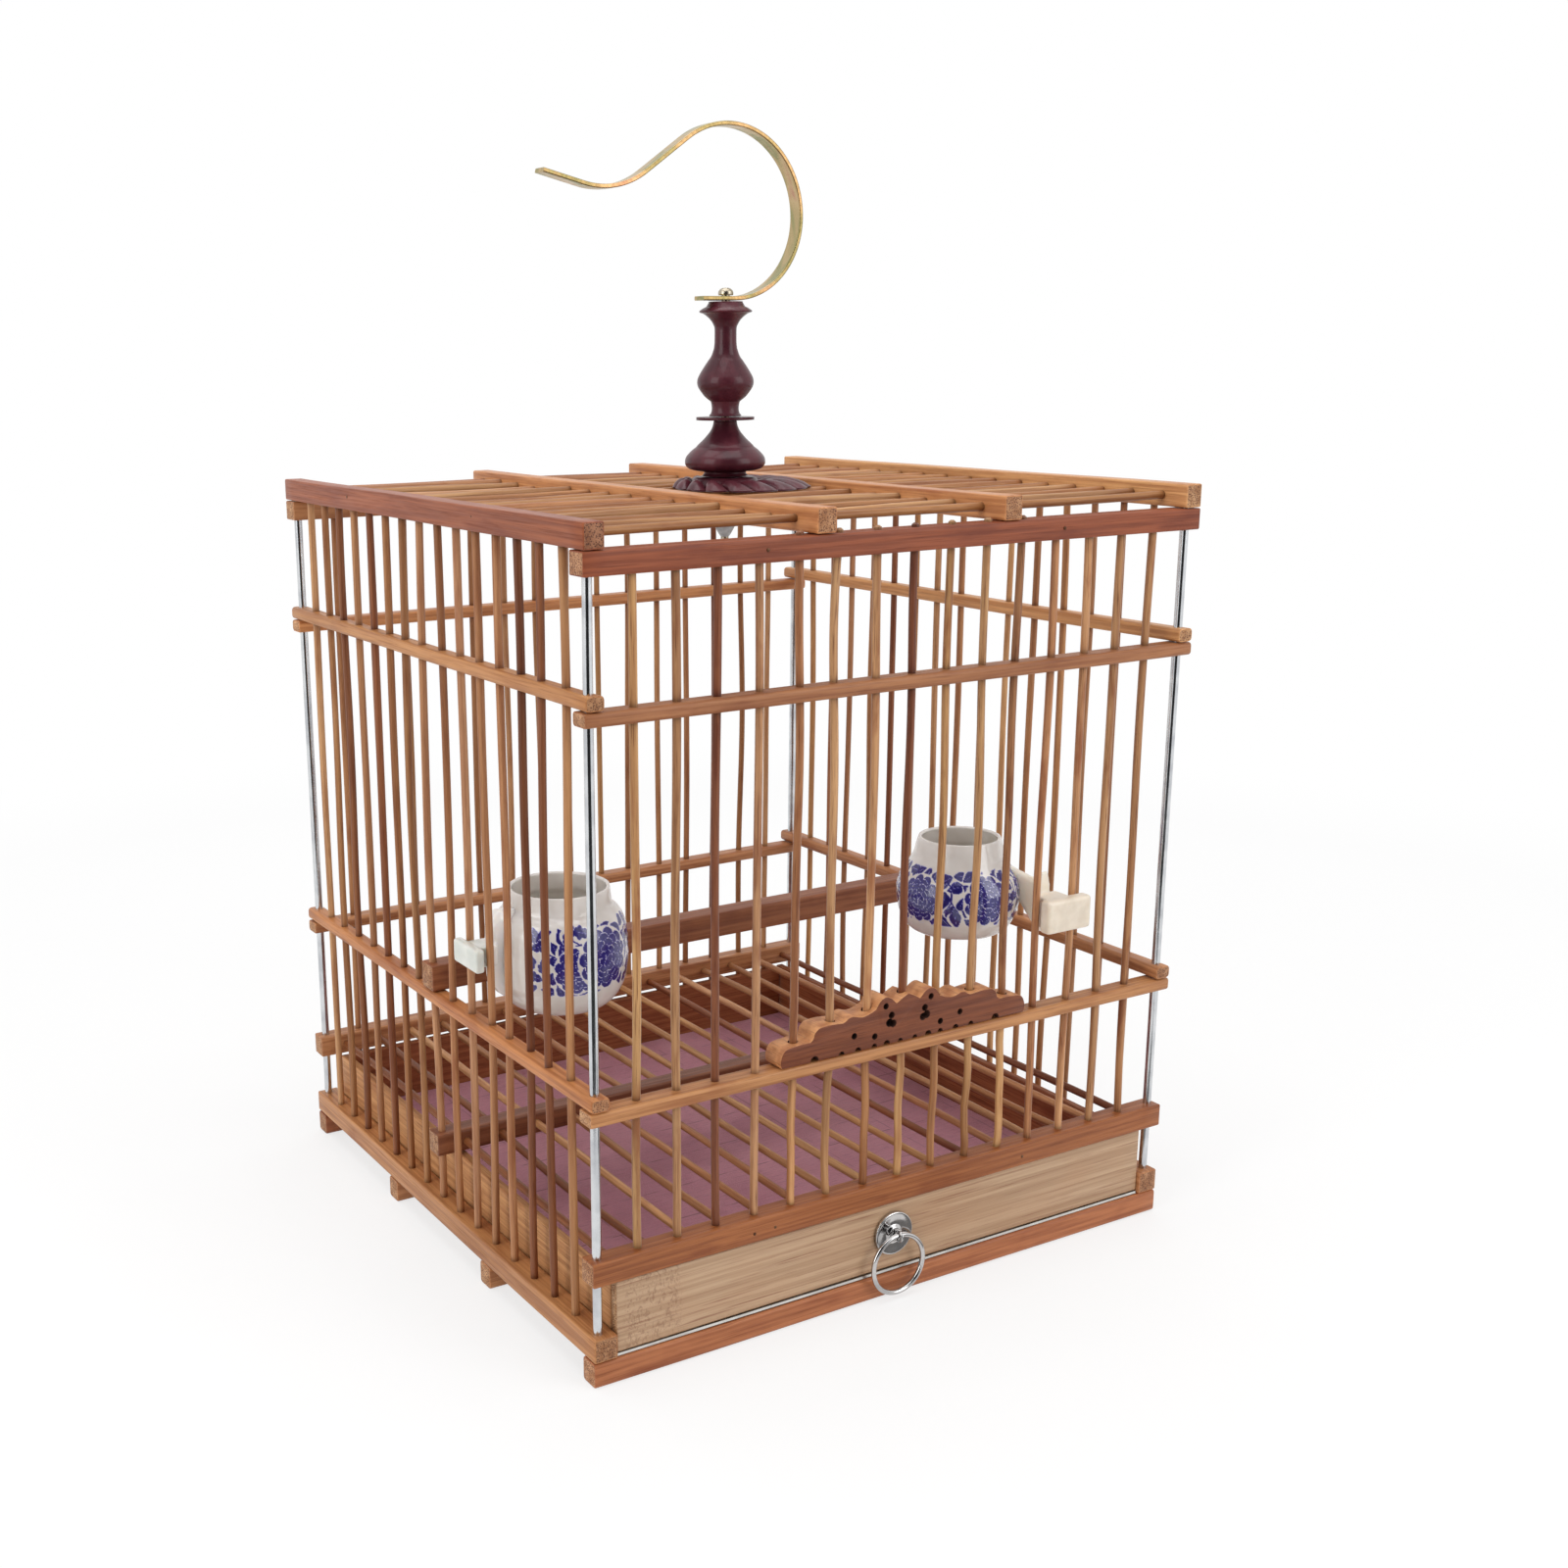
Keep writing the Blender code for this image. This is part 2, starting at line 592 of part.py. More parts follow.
def build_floor():
    """Front and back floor rails, and the grille of rods between them with its middle bar."""
    through = (FLOOR_RAIL_BOTTOM - OVERRUN, FLOOR_RAIL_TOP + OVERRUN)
    for name, side in (("floor_rail_front", -1), ("floor_rail_back", 1)):
        surface = "red_brown_wood" if side < 0 else "pale_wood"
        rail = cross_rail(name, side, FLOOR_RAIL_DEPTH, FLOOR_RAIL_BOTTOM, FLOOR_RAIL_TOP, surface)
        drill_corners(rail, *through)
        inner = side * FLOOR_RAIL_INNER_Y
        outwards = side * FLOOR_SOCKET_DEPTH
        inwards = side * OVERRUN
        bore(
            rail,
            [((x, inner - inwards, FLOOR_ROD_HEIGHT), (x, inner + outwards, FLOOR_ROD_HEIGHT))
             for x in FLOOR_PLACES_X],
            HOLE_RADIUS)
        if side < 0:
            depth = FLOOR_RAIL_TOP - BASE_SOCKET_DEPTH
            bore(rail, upright(in_front(WALL_PLACES_X), depth, FLOOR_RAIL_TOP + OVERRUN), HOLE_RADIUS)
        else:
            bore(rail, upright(at_back(WALL_PLACES_X), *through), HOLE_RADIUS)
    bar = box(
        "floor_grille", (-HALF_WIDTH, -FLOOR_BAR_DEPTH / 2, FLOOR_RAIL_BOTTOM),
        (HALF_WIDTH, FLOOR_BAR_DEPTH / 2, FLOOR_RAIL_TOP), "dark_wood")
    reach = FLOOR_RAIL_INNER_Y + FLOOR_SOCKET_DEPTH - FIT_GAP
    floor_rods = [((x, -reach, FLOOR_ROD_HEIGHT), (x, reach, FLOOR_ROD_HEIGHT)) for x in FLOOR_PLACES_X]
    join(bar, rods("floor_grille_rods", floor_rods, ROD_RADIUS))
    bore(bar, upright(MIDDLE_SIDE_RODS, *through), HOLE_RADIUS)


def build_side_walls():
    """Side walls: rods fixed in the thin rails of the two rings."""
    low = BASE_RAIL_TOP - BASE_SOCKET_DEPTH + FIT_GAP
    high = ROOF_RAIL_BOTTOM + ROOF_SOCKET_DEPTH - FIT_GAP
    for name, side in (("left_wall_grille", -1), ("right_wall_grille", 1)):
        lower = side_rail(name, side, RING_SIDE_WIDTH, LOWER_SIDE_BOTTOM, LOWER_SIDE_TOP, "pale_wood")
        upper = side_rail(name + "_upper", side, RING_SIDE_WIDTH, UPPER_SIDE_BOTTOM, UPPER_SIDE_TOP, None)
        join(lower, rods(name + "_rods", upright(at_side(side, WALL_PLACES_Y), low, high), ROD_RADIUS))
        join(lower, upper)
        drill_corners(lower, LOWER_SIDE_BOTTOM - OVERRUN, UPPER_SIDE_TOP + OVERRUN)


def build_back_wall():
    """Back wall: its rods stop the tray and stand in the back runner."""
    low = RUNNER_HEIGHT - BASE_SOCKET_DEPTH + FIT_GAP
    high = TOP_RAIL_BOTTOM + BASE_SOCKET_DEPTH - FIT_GAP
    name = "back_wall_grille"
    lower = cross_rail(name, 1, RING_CROSS_DEPTH, LOWER_RING_BOTTOM, LOWER_CROSS_TOP, "pale_wood")
    upper = cross_rail(name + "_upper", 1, RING_CROSS_DEPTH, UPPER_RING_BOTTOM, UPPER_CROSS_TOP, None)
    join(lower, rods(name + "_rods", upright(at_back(WALL_PLACES_X), low, high), ROD_RADIUS))
    join(lower, upper)
    drill_corners(lower, LOWER_RING_BOTTOM - OVERRUN, UPPER_CROSS_TOP + OVERRUN)


def build_front_wall():
    """Front wall: loose ring rails, the fixed rods beside the door and the short rods below it."""
    through = (LOWER_RING_BOTTOM, LOWER_CROSS_TOP)
    lower = cross_rail("lower_ring_front", -1, RING_CROSS_DEPTH, *through, "pale_wood")
    short_low = FLOOR_RAIL_TOP - BASE_SOCKET_DEPTH + FIT_GAP
    short_high = LOWER_RING_BOTTOM + RING_CROSS_HEIGHT / 2
    short_rods = upright(in_front(DOOR_PLACES_X), short_low, short_high)
    join(lower, rods("lower_ring_front_rods", short_rods, ROD_RADIUS))
    through = (LOWER_RING_BOTTOM - OVERRUN, LOWER_CROSS_TOP + OVERRUN)
    bore(lower, upright(in_front(FIXED_PLACES_X), *through), HOLE_RADIUS)
    drill_corners(lower, *through)

    through = (UPPER_RING_BOTTOM, UPPER_CROSS_TOP)
    upper = cross_rail("upper_ring_front", -1, RING_CROSS_DEPTH, *through, "pale_wood")
    through = (UPPER_RING_BOTTOM - OVERRUN, UPPER_CROSS_TOP + OVERRUN)
    bore(upper, upright(in_front(WALL_PLACES_X), *through), HOLE_RADIUS)
    drill_corners(upper, *through)

    low = FLOOR_RAIL_TOP - BASE_SOCKET_DEPTH + FIT_GAP
    high = TOP_RAIL_BOTTOM + BASE_SOCKET_DEPTH - FIT_GAP
    for index, run in enumerate(upright(in_front(FIXED_PLACES_X), low, high), 1):
        rods(f"front_rod_{index}", [run], ROD_RADIUS, "bamboo_rod")


def build_top_rails():
    """Rails over the front and back walls. The door's rods slide through the front one."""
    through = (TOP_RAIL_BOTTOM - OVERRUN, TOP_RAIL_TOP + OVERRUN)
    sockets = (TOP_RAIL_BOTTOM - OVERRUN, TOP_RAIL_BOTTOM + BASE_SOCKET_DEPTH)
    heights = (TOP_RAIL_BOTTOM, TOP_RAIL_TOP)
    front = cross_rail("top_rail_front", -1, TOP_RAIL_DEPTH, *heights, "red_brown_wood")
    bore(front, upright(in_front(FIXED_PLACES_X), *sockets), HOLE_RADIUS)
    bore(front, upright(in_front(DOOR_PLACES_X), *through), HOLE_RADIUS)
    drill_corners(front, *through)
    back = cross_rail("top_rail_back", 1, TOP_RAIL_DEPTH, *heights, "pale_wood")
    bore(back, upright(at_back(WALL_PLACES_X), *sockets), HOLE_RADIUS)
    drill_corners(back, *through)


def build_roof():
    """Roof: side rails that hold the rods' ends, and two inner rails that the rods pass through."""
    places = rod_places(PITCH_Y, ROOF_ROD_COUNT)
    for name, side in (("roof_rail_left", -1), ("roof_rail_right", 1)):
        rail = side_rail(name, side, ROOF_RAIL_WIDTH, ROOF_RAIL_BOTTOM, BODY_HEIGHT, "red_brown_wood")
        inner = side * (ROOF_RAIL_INNER_X - OVERRUN)
        outer = side * (ROOF_RAIL_INNER_X + ROOF_SOCKET_DEPTH)
        runs = [((inner, y, ROOF_ROD_HEIGHT), (outer, y, ROOF_ROD_HEIGHT)) for y in places]
        bore(rail, runs, HOLE_RADIUS)
        low = ROOF_RAIL_BOTTOM - OVERRUN
        high = ROOF_RAIL_BOTTOM + ROOF_SOCKET_DEPTH
        bore(rail, upright(at_side(side, WALL_PLACES_Y), low, high), HOLE_RADIUS)
        drill_corners(rail, low, ROOF_RAIL_BOTTOM + CORNER_ROOF_SOCKET_DEPTH)
    middle = INNER_ROOF_RAIL_PITCH_SHARE * PITCH_X
    inner_rails = [
        ((x - INNER_ROOF_RAIL_WIDTH / 2, -HALF_DEPTH, ROOF_RAIL_BOTTOM),
         (x + INNER_ROOF_RAIL_WIDTH / 2, HALF_DEPTH, BODY_HEIGHT))
        for x in (-middle, middle)
    ]
    grille = box("roof_grille", *inner_rails[0], "pale_wood")
    reach = ROOF_RAIL_INNER_X + ROOF_SOCKET_DEPTH - FIT_GAP
    roof_rods = [((-reach, y, ROOF_ROD_HEIGHT), (reach, y, ROOF_ROD_HEIGHT)) for y in places]
    join(grille, rods("roof_grille_rods", roof_rods, ROD_RADIUS))
    join(grille, box("roof_grille_second_rail", *inner_rails[1]))


def build_corner_rods():
    """Steel rods that run from the runners up to the roof rails and hold the corners together."""
    low = RUNNER_HEIGHT - CORNER_SOCKET_DEPTH + FIT_GAP
    high = ROOF_RAIL_BOTTOM + CORNER_ROOF_SOCKET_DEPTH - FIT_GAP
    names = ("front_left", "back_left", "front_right", "back_right")
    for name, run in zip(names, upright(CORNERS, low, high)):
        rods("corner_rod_" + name, [run], CORNER_ROD_RADIUS, "steel")


def build_perch():
    """Perch across the cage, threaded on the middle rod of each side wall."""
    low = LOWER_SIDE_TOP + FIT_GAP
    high = low + PERCH_HEIGHT
    slide = pivot("perch_slide", (0, 0, low), CAGE_FRAME)
    half = PERCH_DEPTH / 2
    perch = box("perch", (-HALF_WIDTH, -half, low), (HALF_WIDTH, half, high), "dark_wood", slide)
    bore(perch, upright(MIDDLE_SIDE_RODS, low - OVERRUN, high + OVERRUN), HOLE_RADIUS)


def build_door():
    """Door: a carved block that rests on the lower ring and carries seven sliding rods."""
    slide = pivot("door_slide", (0, -WALL_Y, DOOR_BLOCK_BOTTOM), CAGE_FRAME)
    middle_y = -HALF_DEPTH + DOOR_BLOCK_DEPTH / 2
    right = scaled(DOOR_EDGE_SHARES, DOOR_HALF_WIDTH, DOOR_BLOCK_HEIGHT)
    left = [(-x, z) for x, z in reversed(right[1:])]
    place = (0, middle_y, DOOR_BLOCK_BOTTOM)
    block = flat_outline("door_block", left + right, DOOR_BLOCK_DEPTH, place, "carved_wood", slide)

    low = -HALF_DEPTH - OVERRUN
    high = low + DOOR_BLOCK_DEPTH + 2 * OVERRUN

    def across(shares):
        """Runs through the block at each share, on both sides of its middle."""
        places = [
            (side * share_x * DOOR_HALF_WIDTH, DOOR_BLOCK_BOTTOM + share_z * DOOR_BLOCK_HEIGHT)
            for share_x, share_z in shares for side in (-1, 1)
        ]
        return [((x, low, z), (x, high, z)) for x, z in places]

    bore(block, across(DOOR_HOLE_SHARES), DOOR_HOLE_RADIUS)
    bore(block, across([(share, 0) for share in DOOR_NOTCH_SHARES]), DOOR_NOTCH_RADIUS)
    for start, end in across(DOOR_SLOT_SHARES):
        slot = rods("door_slot", [(start, end)], DOOR_SLOT_RADIUS, parent=slide)
        half = DOOR_SLOT_RADIUS / 2
        near = (start[0] - half, start[1], start[2])
        far = (start[0] + half, end[1], start[2] + DOOR_SLOT_LENGTH)
        join(slot, box("door_slot_stretch", near, far, parent=slide, rounding=0))
        cut(block, slot)
    socket_bottom = DOOR_BLOCK_BOTTOM + DOOR_SOCKET_FLOOR
    socket_top = DOOR_BLOCK_BOTTOM + DOOR_BLOCK_HEIGHT + OVERRUN
    bore(block, upright(in_front(DOOR_PLACES_X), socket_bottom, socket_top), HOLE_RADIUS)

    low = socket_bottom + FIT_GAP
    high = TOP_RAIL_TOP + DOOR_ROD_PROUD
    for index, run in enumerate(upright(in_front(DOOR_PLACES_X), low, high), 1):
        rods(f"door_rod_{index}", [run], ROD_RADIUS, "bamboo_rod", slide)


def build_drawer():
    """Tray: a wooden box on a metal plate with a liner, and a ring pull on its front."""
    slide = pivot("drawer_slide", (0, DRAWER_FRONT_Y, DRAWER_PLATE_BOTTOM), CAGE_FRAME)
    width = DRAWER_HALF_WIDTH
    low = DRAWER_INSIDE_BOTTOM
    inner_front = DRAWER_FRONT_Y + DRAWER_FRONT_THICKNESS
    side_top = DRAWER_TOP - DRAWER_SIDE_DROP
    front = box(
        "drawer_front", (-width, DRAWER_FRONT_Y, low), (width, inner_front, DRAWER_TOP), "pale_wood", slide)
    for name, side in (("drawer_left", -1), ("drawer_right", 1)):
        faces = sorted((side * width, side * (width - DRAWER_WALL)))
        box(
            name, (faces[0], inner_front + FIT_GAP, low), (faces[1], DRAWER_BACK_Y, side_top), "tray_wood",
            slide)
    inside = width - DRAWER_WALL - FIT_GAP
    box(
        "drawer_back", (-inside, DRAWER_BACK_Y - DRAWER_WALL, low), (inside, DRAWER_BACK_Y, side_top),
        "tray_wood", slide)
    box(
        "drawer_bottom", (-width, DRAWER_FRONT_Y, DRAWER_PLATE_BOTTOM),
        (width, DRAWER_BACK_Y, DRAWER_PLATE_BOTTOM + DRAWER_PLATE_THICKNESS), "steel", slide, rounding=0)
    box(
        "drawer_liner", (-inside, inner_front + FIT_GAP, low),
        (inside, DRAWER_BACK_Y - DRAWER_WALL - FIT_GAP, low + DRAWER_LINER_THICKNESS), "mauve_liner", slide,
        rounding=0)

    shank_hole = EYE_SHANK_RADIUS + FIT_GAP
    tail = inner_front + FIT_GAP + EYE_SHANK_TAIL
    def on_axis(y):
        """A point on the pull's axis through the tray's front."""
        return (PULL_OFFSET_X, y, PULL_HEIGHT)

    bore(front, [(on_axis(DRAWER_FRONT_Y - OVERRUN), on_axis(inner_front + OVERRUN))], shank_hole)
    outline = [
        (shank_hole, ROSETTE_DOME),
        (ROSETTE_RADIUS / 2, (ROSETTE_RIM + 2 * ROSETTE_DOME) / 3),
        (ROSETTE_RADIUS, ROSETTE_RIM),
        (ROSETTE_RADIUS, 0),
    ]
    rosette = turned("pull_rosette", outline, on_axis(ROSETTE_BACK_Y), "bright_metal", slide, shank_hole)
    rosette.rotation_euler.x = math.radians(90)
    loop = on_axis(EYE_LOOP_Y)
    hinge = pivot("pull_ring_hinge", loop, slide)
    eye = ring("pull_eye", EYE_LOOP_RADIUS, EYE_WIRE_RADIUS, loop, EYE_STEPS, "bright_metal", slide)
    eye.rotation_euler.y = math.radians(90)
    shank = (on_axis(EYE_LOOP_Y + EYE_LOOP_RADIUS), on_axis(tail))
    join(eye, rods("pull_eye_shank", [shank], EYE_SHANK_RADIUS, parent=slide))
    low = (PULL_OFFSET_X, EYE_LOOP_Y, PULL_HEIGHT - PULL_RING_RADIUS)
    hanging = ring("pull_ring", PULL_RING_RADIUS, PULL_WIRE_RADIUS, low, RING_STEPS, "bright_metal", hinge)
    hanging.rotation_euler.x = math.radians(90)


def petal_plate():
    """Thin plate of petals, crowned along each petal. Its raised hub and bolt hole lie off its middle."""
    steps = PETAL_COUNT * PETAL_STEPS
    sections = []
    for step in range(steps):
        angle = 2 * math.pi * step / steps
        lobe = abs(math.sin(PETAL_COUNT * angle / 2))
        rim = PETAL_RADIUS - PETAL_NOTCH * (1 - lobe)
        crown = PETAL_BOTTOM + PETAL_RIM_THICKNESS + PETAL_CROWN * lobe
        outline = [
            (BOLT_HOLE_RADIUS, 0, PETAL_BOTTOM + PETAL_HUB_HEIGHT),
            (PETAL_HUB_RADIUS - PETAL_NOTCH, 0, PETAL_BOTTOM + PETAL_HUB_HEIGHT),
            (PETAL_HUB_RADIUS, 0, PETAL_BOTTOM + PETAL_RIM_THICKNESS + PETAL_NOTCH / 2),
            ((PETAL_HUB_RADIUS + rim) / 2, 1 / 2, crown),
            (rim, 1, PETAL_BOTTOM + PETAL_RIM_THICKNESS),
            (rim - PETAL_RIM_THICKNESS, 1, PETAL_BOTTOM),
            (BOLT_HOLE_RADIUS, 0, PETAL_BOTTOM),
        ]
        sections.append([
            (r * math.cos(angle) + PETAL_OFFSET_X * share, r * math.sin(angle) + PETAL_OFFSET_Y * share, z)
            for r, share, z in outline
        ])
    shape = bmesh.new()
    loops = [[shape.verts.new(point) for point in section] for section in sections]
    count = len(loops[0])
    for index, first in enumerate(loops):
        second = loops[(index + 1) % steps]
        for corner in range(count):
            after = (corner + 1) % count
            shape.faces.new((first[corner], first[after], second[after], second[corner]))
    bmesh.ops.recalc_face_normals(shape, faces=shape.faces)
    return solid("petal_plate", shape, (FINIAL_X, FINIAL_Y, 0), "lacquered_wood")


def build_finial():
    """Turned finial with its petal plate, bolted down through the roof rods."""
    petal_plate()
    centre = (FINIAL_X, FINIAL_Y, 0)
    stack = {
        "finial_base": scaled(BASE_KNOB_SHARES, BASE_KNOB_RADIUS, BASE_KNOB_HEIGHT, BASE_KNOB_BOTTOM),
        "finial_disc": [(DISC_RADIUS, DISC_BOTTOM + DISC_THICKNESS), (DISC_RADIUS, DISC_BOTTOM)],
        "finial_stem": scaled(STEM_SHARES, STEM_RADIUS, STEM_HEIGHT, STEM_BOTTOM),
    }
    for name, outline in stack.items():
        turned(name, outline, centre, "lacquered_wood", bore_radius=BOLT_HOLE_RADIUS)
    outline = [(WASHER_RADIUS, WASHER_TOP), (WASHER_RADIUS, WASHER_TOP - WASHER_THICKNESS)]
    turned("roof_washer", outline, centre, "steel", bore_radius=BOLT_HOLE_RADIUS)

    outline = scaled(NUT_SHARES, NUT_RADIUS, NUT_HEIGHT, NUT_TOP - NUT_HEIGHT)
    nut = turned("cone_nut", outline, centre, "grey_plastic")
    socket = upright([(FINIAL_X, FINIAL_Y)], BOLT_BOTTOM - FIT_GAP, NUT_TOP + OVERRUN)
    bore(nut, socket, BOLT_HOLE_RADIUS)

    dome = [
        (BOLT_HEAD_RADIUS * math.sin(math.radians(angle)),
         BOLT_HEAD_BOTTOM + BOLT_HEAD_HEIGHT * math.cos(math.radians(angle)))
        for angle in (0, 30, 60, 90)
    ]
    shank = [(BOLT_RADIUS, BOLT_HEAD_BOTTOM), (BOLT_RADIUS, BOLT_BOTTOM)]
    turned("centre_bolt", dome + shank, centre, "steel", steps=BOLT_STEPS)


def hook_line():
    """Points and headings along the middle of the bent strip, from its foot to its tip."""
    bends = [
        (HOOK_FOOT_BACK + HOOK_FOOT_FRONT, 0),
        (HOOK_LOWER_RADIUS * math.radians(HOOK_LOWER_TURN), HOOK_LOWER_TURN),
        (HOOK_UPPER_RADIUS * math.radians(HOOK_UPPER_TURN), HOOK_UPPER_TURN),
        (HOOK_SHOULDER, 0),
        (HOOK_TAIL_RADIUS * math.radians(HOOK_TAIL_TURN), -HOOK_TAIL_TURN),
        (HOOK_TIP, 0),
    ]
    place = Vector((-HOOK_FOOT_BACK, HOOK_THICKNESS / 2))
    heading = 0.0
    line = [(place.copy(), heading)]
    for length, turn in bends:
        steps = max(1, round(abs(turn) / HOOK_TURN_STEP))
        for _ in range(steps):
            heading += math.radians(turn) / steps / 2
            place += Vector((math.cos(heading), math.sin(heading))) * (length / steps)
            heading += math.radians(turn) / steps / 2
            line.append((place.copy(), heading))
    return line


def build_hook():
    """Hook bent from a flat strip, which turns round the bolt above the finial."""
    swivel = pivot("hook_swivel", (FINIAL_X, FINIAL_Y, HOOK_FOOT_BOTTOM), CAGE_FRAME)
    line = hook_line()
    half = HOOK_THICKNESS / 2
    outer = [(x + half * math.sin(heading), z - half * math.cos(heading)) for (x, z), heading in line]
    inner = [(x - half * math.sin(heading), z + half * math.cos(heading)) for (x, z), heading in line]
    foot = (FINIAL_X, FINIAL_Y, HOOK_FOOT_BOTTOM)
    hook = flat_outline("hook", outer + inner[::-1], HOOK_WIDTH, foot, "zinc_plate", swivel)
    low = HOOK_FOOT_BOTTOM - OVERRUN
    high = HOOK_FOOT_BOTTOM + HOOK_THICKNESS + OVERRUN
    bore(hook, upright([(FINIAL_X, FINIAL_Y)], low, high), BOLT_HOLE_RADIUS)


def cup(name, centre, bottom, height, radius, shares, ear, surface):
    """A hanging cup: a turned bowl, its ear through the wall, and an arm that joins them."""
    slide = pivot(name + "_slide", (*centre, bottom), CAGE_FRAME)
    outline = scaled(shares, radius, height)
    bowl = turned(name, outline, (*centre, bottom), surface, slide, steps=CUP_STEPS)
    outwards = Vector((*ear["outwards"], 0))
    sideways = Vector((-outwards.y, outwards.x, 0))
    neck = Vector((*ear["neck"], 0))

    def block(label, near, far, half, rounding, offset=0):
        """A box between two distances outwards from the neck's middle, inside the ear's height."""
        corners = [
            neck + outwards * reach + sideways * (offset + half * side)
            for reach, side in ((near, -1), (far, 1))
        ]
        low = [min(corner[axis] for corner in corners) for axis in range(2)]
        high = [max(corner[axis] for corner in corners) for axis in range(2)]
        return box(
            name + label, (*low, ear["bottom"]), (*high, ear["bottom"] + ear["height"]), parent=slide,
            rounding=rounding)

    plate_near = ROD_RADIUS + EAR_PLATE_GAP
    inner_end = -ear["rail_inset"] - FIT_GAP
    neck_half = ear["pitch"] / 2 - ROD_RADIUS - EAR_ROD_GAP
    plate = block(
        "_plate", plate_near, plate_near + ear["thickness"], ear["width"] / 2, EAR_PLATE_ROUND,
        ear["offset"])
    through = block("_neck", inner_end - OVERRUN, plate_near + ear["thickness"] / 2, neck_half, 0)

    start = neck + outwards * inner_end
    middle = Vector((*centre, 0))
    towards = (start - middle).normalized()
    towards.rotate(Matrix.Rotation(math.radians(ear["arm_turn"]), 3, "Z"))
    across = Vector((-towards.y, towards.x, 0))
    end = middle + towards * radius * ARM_DEPTH_SHARE

    def section(place, direction, half, edge_shares):
        low, high = (bottom + share * height for share in edge_shares)
        corners = ((-1, low), (1, low), (1, high), (-1, high))
        return [(*(place + direction * half * side).xy, level) for side, level in corners]

    wall_shares, cup_shares = ear["arm_shares"]
    arm_half = ear["arm_width"] / 2
    sections = [section(start, sideways, arm_half, wall_shares), section(end, across, arm_half, cup_shares)]
    arm = loft(name + "_arm", sections, (0, 0, 0), parent=slide)
    for piece in (arm, through, plate):
        join(bowl, piece)
    cavity = [(max(r - CUP_WALL, 0), z) for r, z in outline]
    cavity[0] = (cavity[0][0], height + OVERRUN)
    cavity[-1] = (cavity[-1][0], CUP_WALL)
    cavity[-2] = (cavity[-2][0], max(cavity[-2][1], 2 * CUP_WALL))
    cut(bowl, turned(name + "_hollow", cavity, (*centre, bottom), parent=slide, steps=CUP_STEPS))
    return bowl


def build_cups():
    """Food cup on the left wall, water cup on the front wall beside the door."""
    food_ear = {
        "outwards": (-1, 0),
        "neck": (-WALL_X, FOOD_CUP_OFFSET_Y),
        "pitch": PITCH_Y,
        "rail_inset": RING_SIDE_WIDTH - SIDE_ROD_INSET,
        "bottom": FOOD_EAR_BOTTOM,
        "height": FOOD_EAR_HEIGHT,
        "width": FOOD_EAR_WIDTH,
        "thickness": FOOD_EAR_THICKNESS,
        "offset": 0,
        "arm_width": FOOD_ARM_WIDTH,
        "arm_turn": 0,
        "arm_shares": FOOD_ARM_SHARES,
    }
    cup(
        "food_cup", (-WALL_X + FOOD_CUP_REACH, FOOD_CUP_OFFSET_Y), FOOD_CUP_BOTTOM, FOOD_CUP_HEIGHT,
        FOOD_CUP_RADIUS, FOOD_CUP_SHARES, food_ear, "white_china")
    water_ear = {
        "outwards": (0, -1),
        "neck": ((WATER_CUP_BAY + 1 / 2) * PITCH_X, -WALL_Y),
        "pitch": PITCH_X,
        "rail_inset": RING_CROSS_DEPTH - FRONT_ROD_INSET,
        "bottom": WATER_EAR_BOTTOM,
        "height": WATER_EAR_HEIGHT,
        "width": WATER_EAR_WIDTH,
        "thickness": WATER_EAR_THICKNESS,
        "offset": WATER_EAR_OFFSET,
        "arm_width": WATER_ARM_WIDTH,
        "arm_turn": WATER_ARM_TURN,
        "arm_shares": WATER_ARM_SHARES,
    }
    cup(
        "water_cup", (WATER_CUP_X, -WALL_Y + WATER_CUP_REACH), WATER_CUP_BOTTOM, WATER_CUP_HEIGHT,
        WATER_CUP_RADIUS, WATER_CUP_SHARES, water_ear, "white_china")


build_base()
build_floor()
build_side_walls()
build_back_wall()
build_front_wall()
build_top_rails()
build_roof()
build_corner_rods()
build_perch()
build_door()
build_drawer()
build_finial()
build_hook()
build_cups()
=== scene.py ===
"""Looks of the bird cage: its wood, china, metal and lacquer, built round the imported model.

Lengths are in metres in the model's own frame, +Z up, with the door towards -Y.
"""

import math

import bmesh
import bpy
import numpy as np
from mathutils import Matrix, Vector


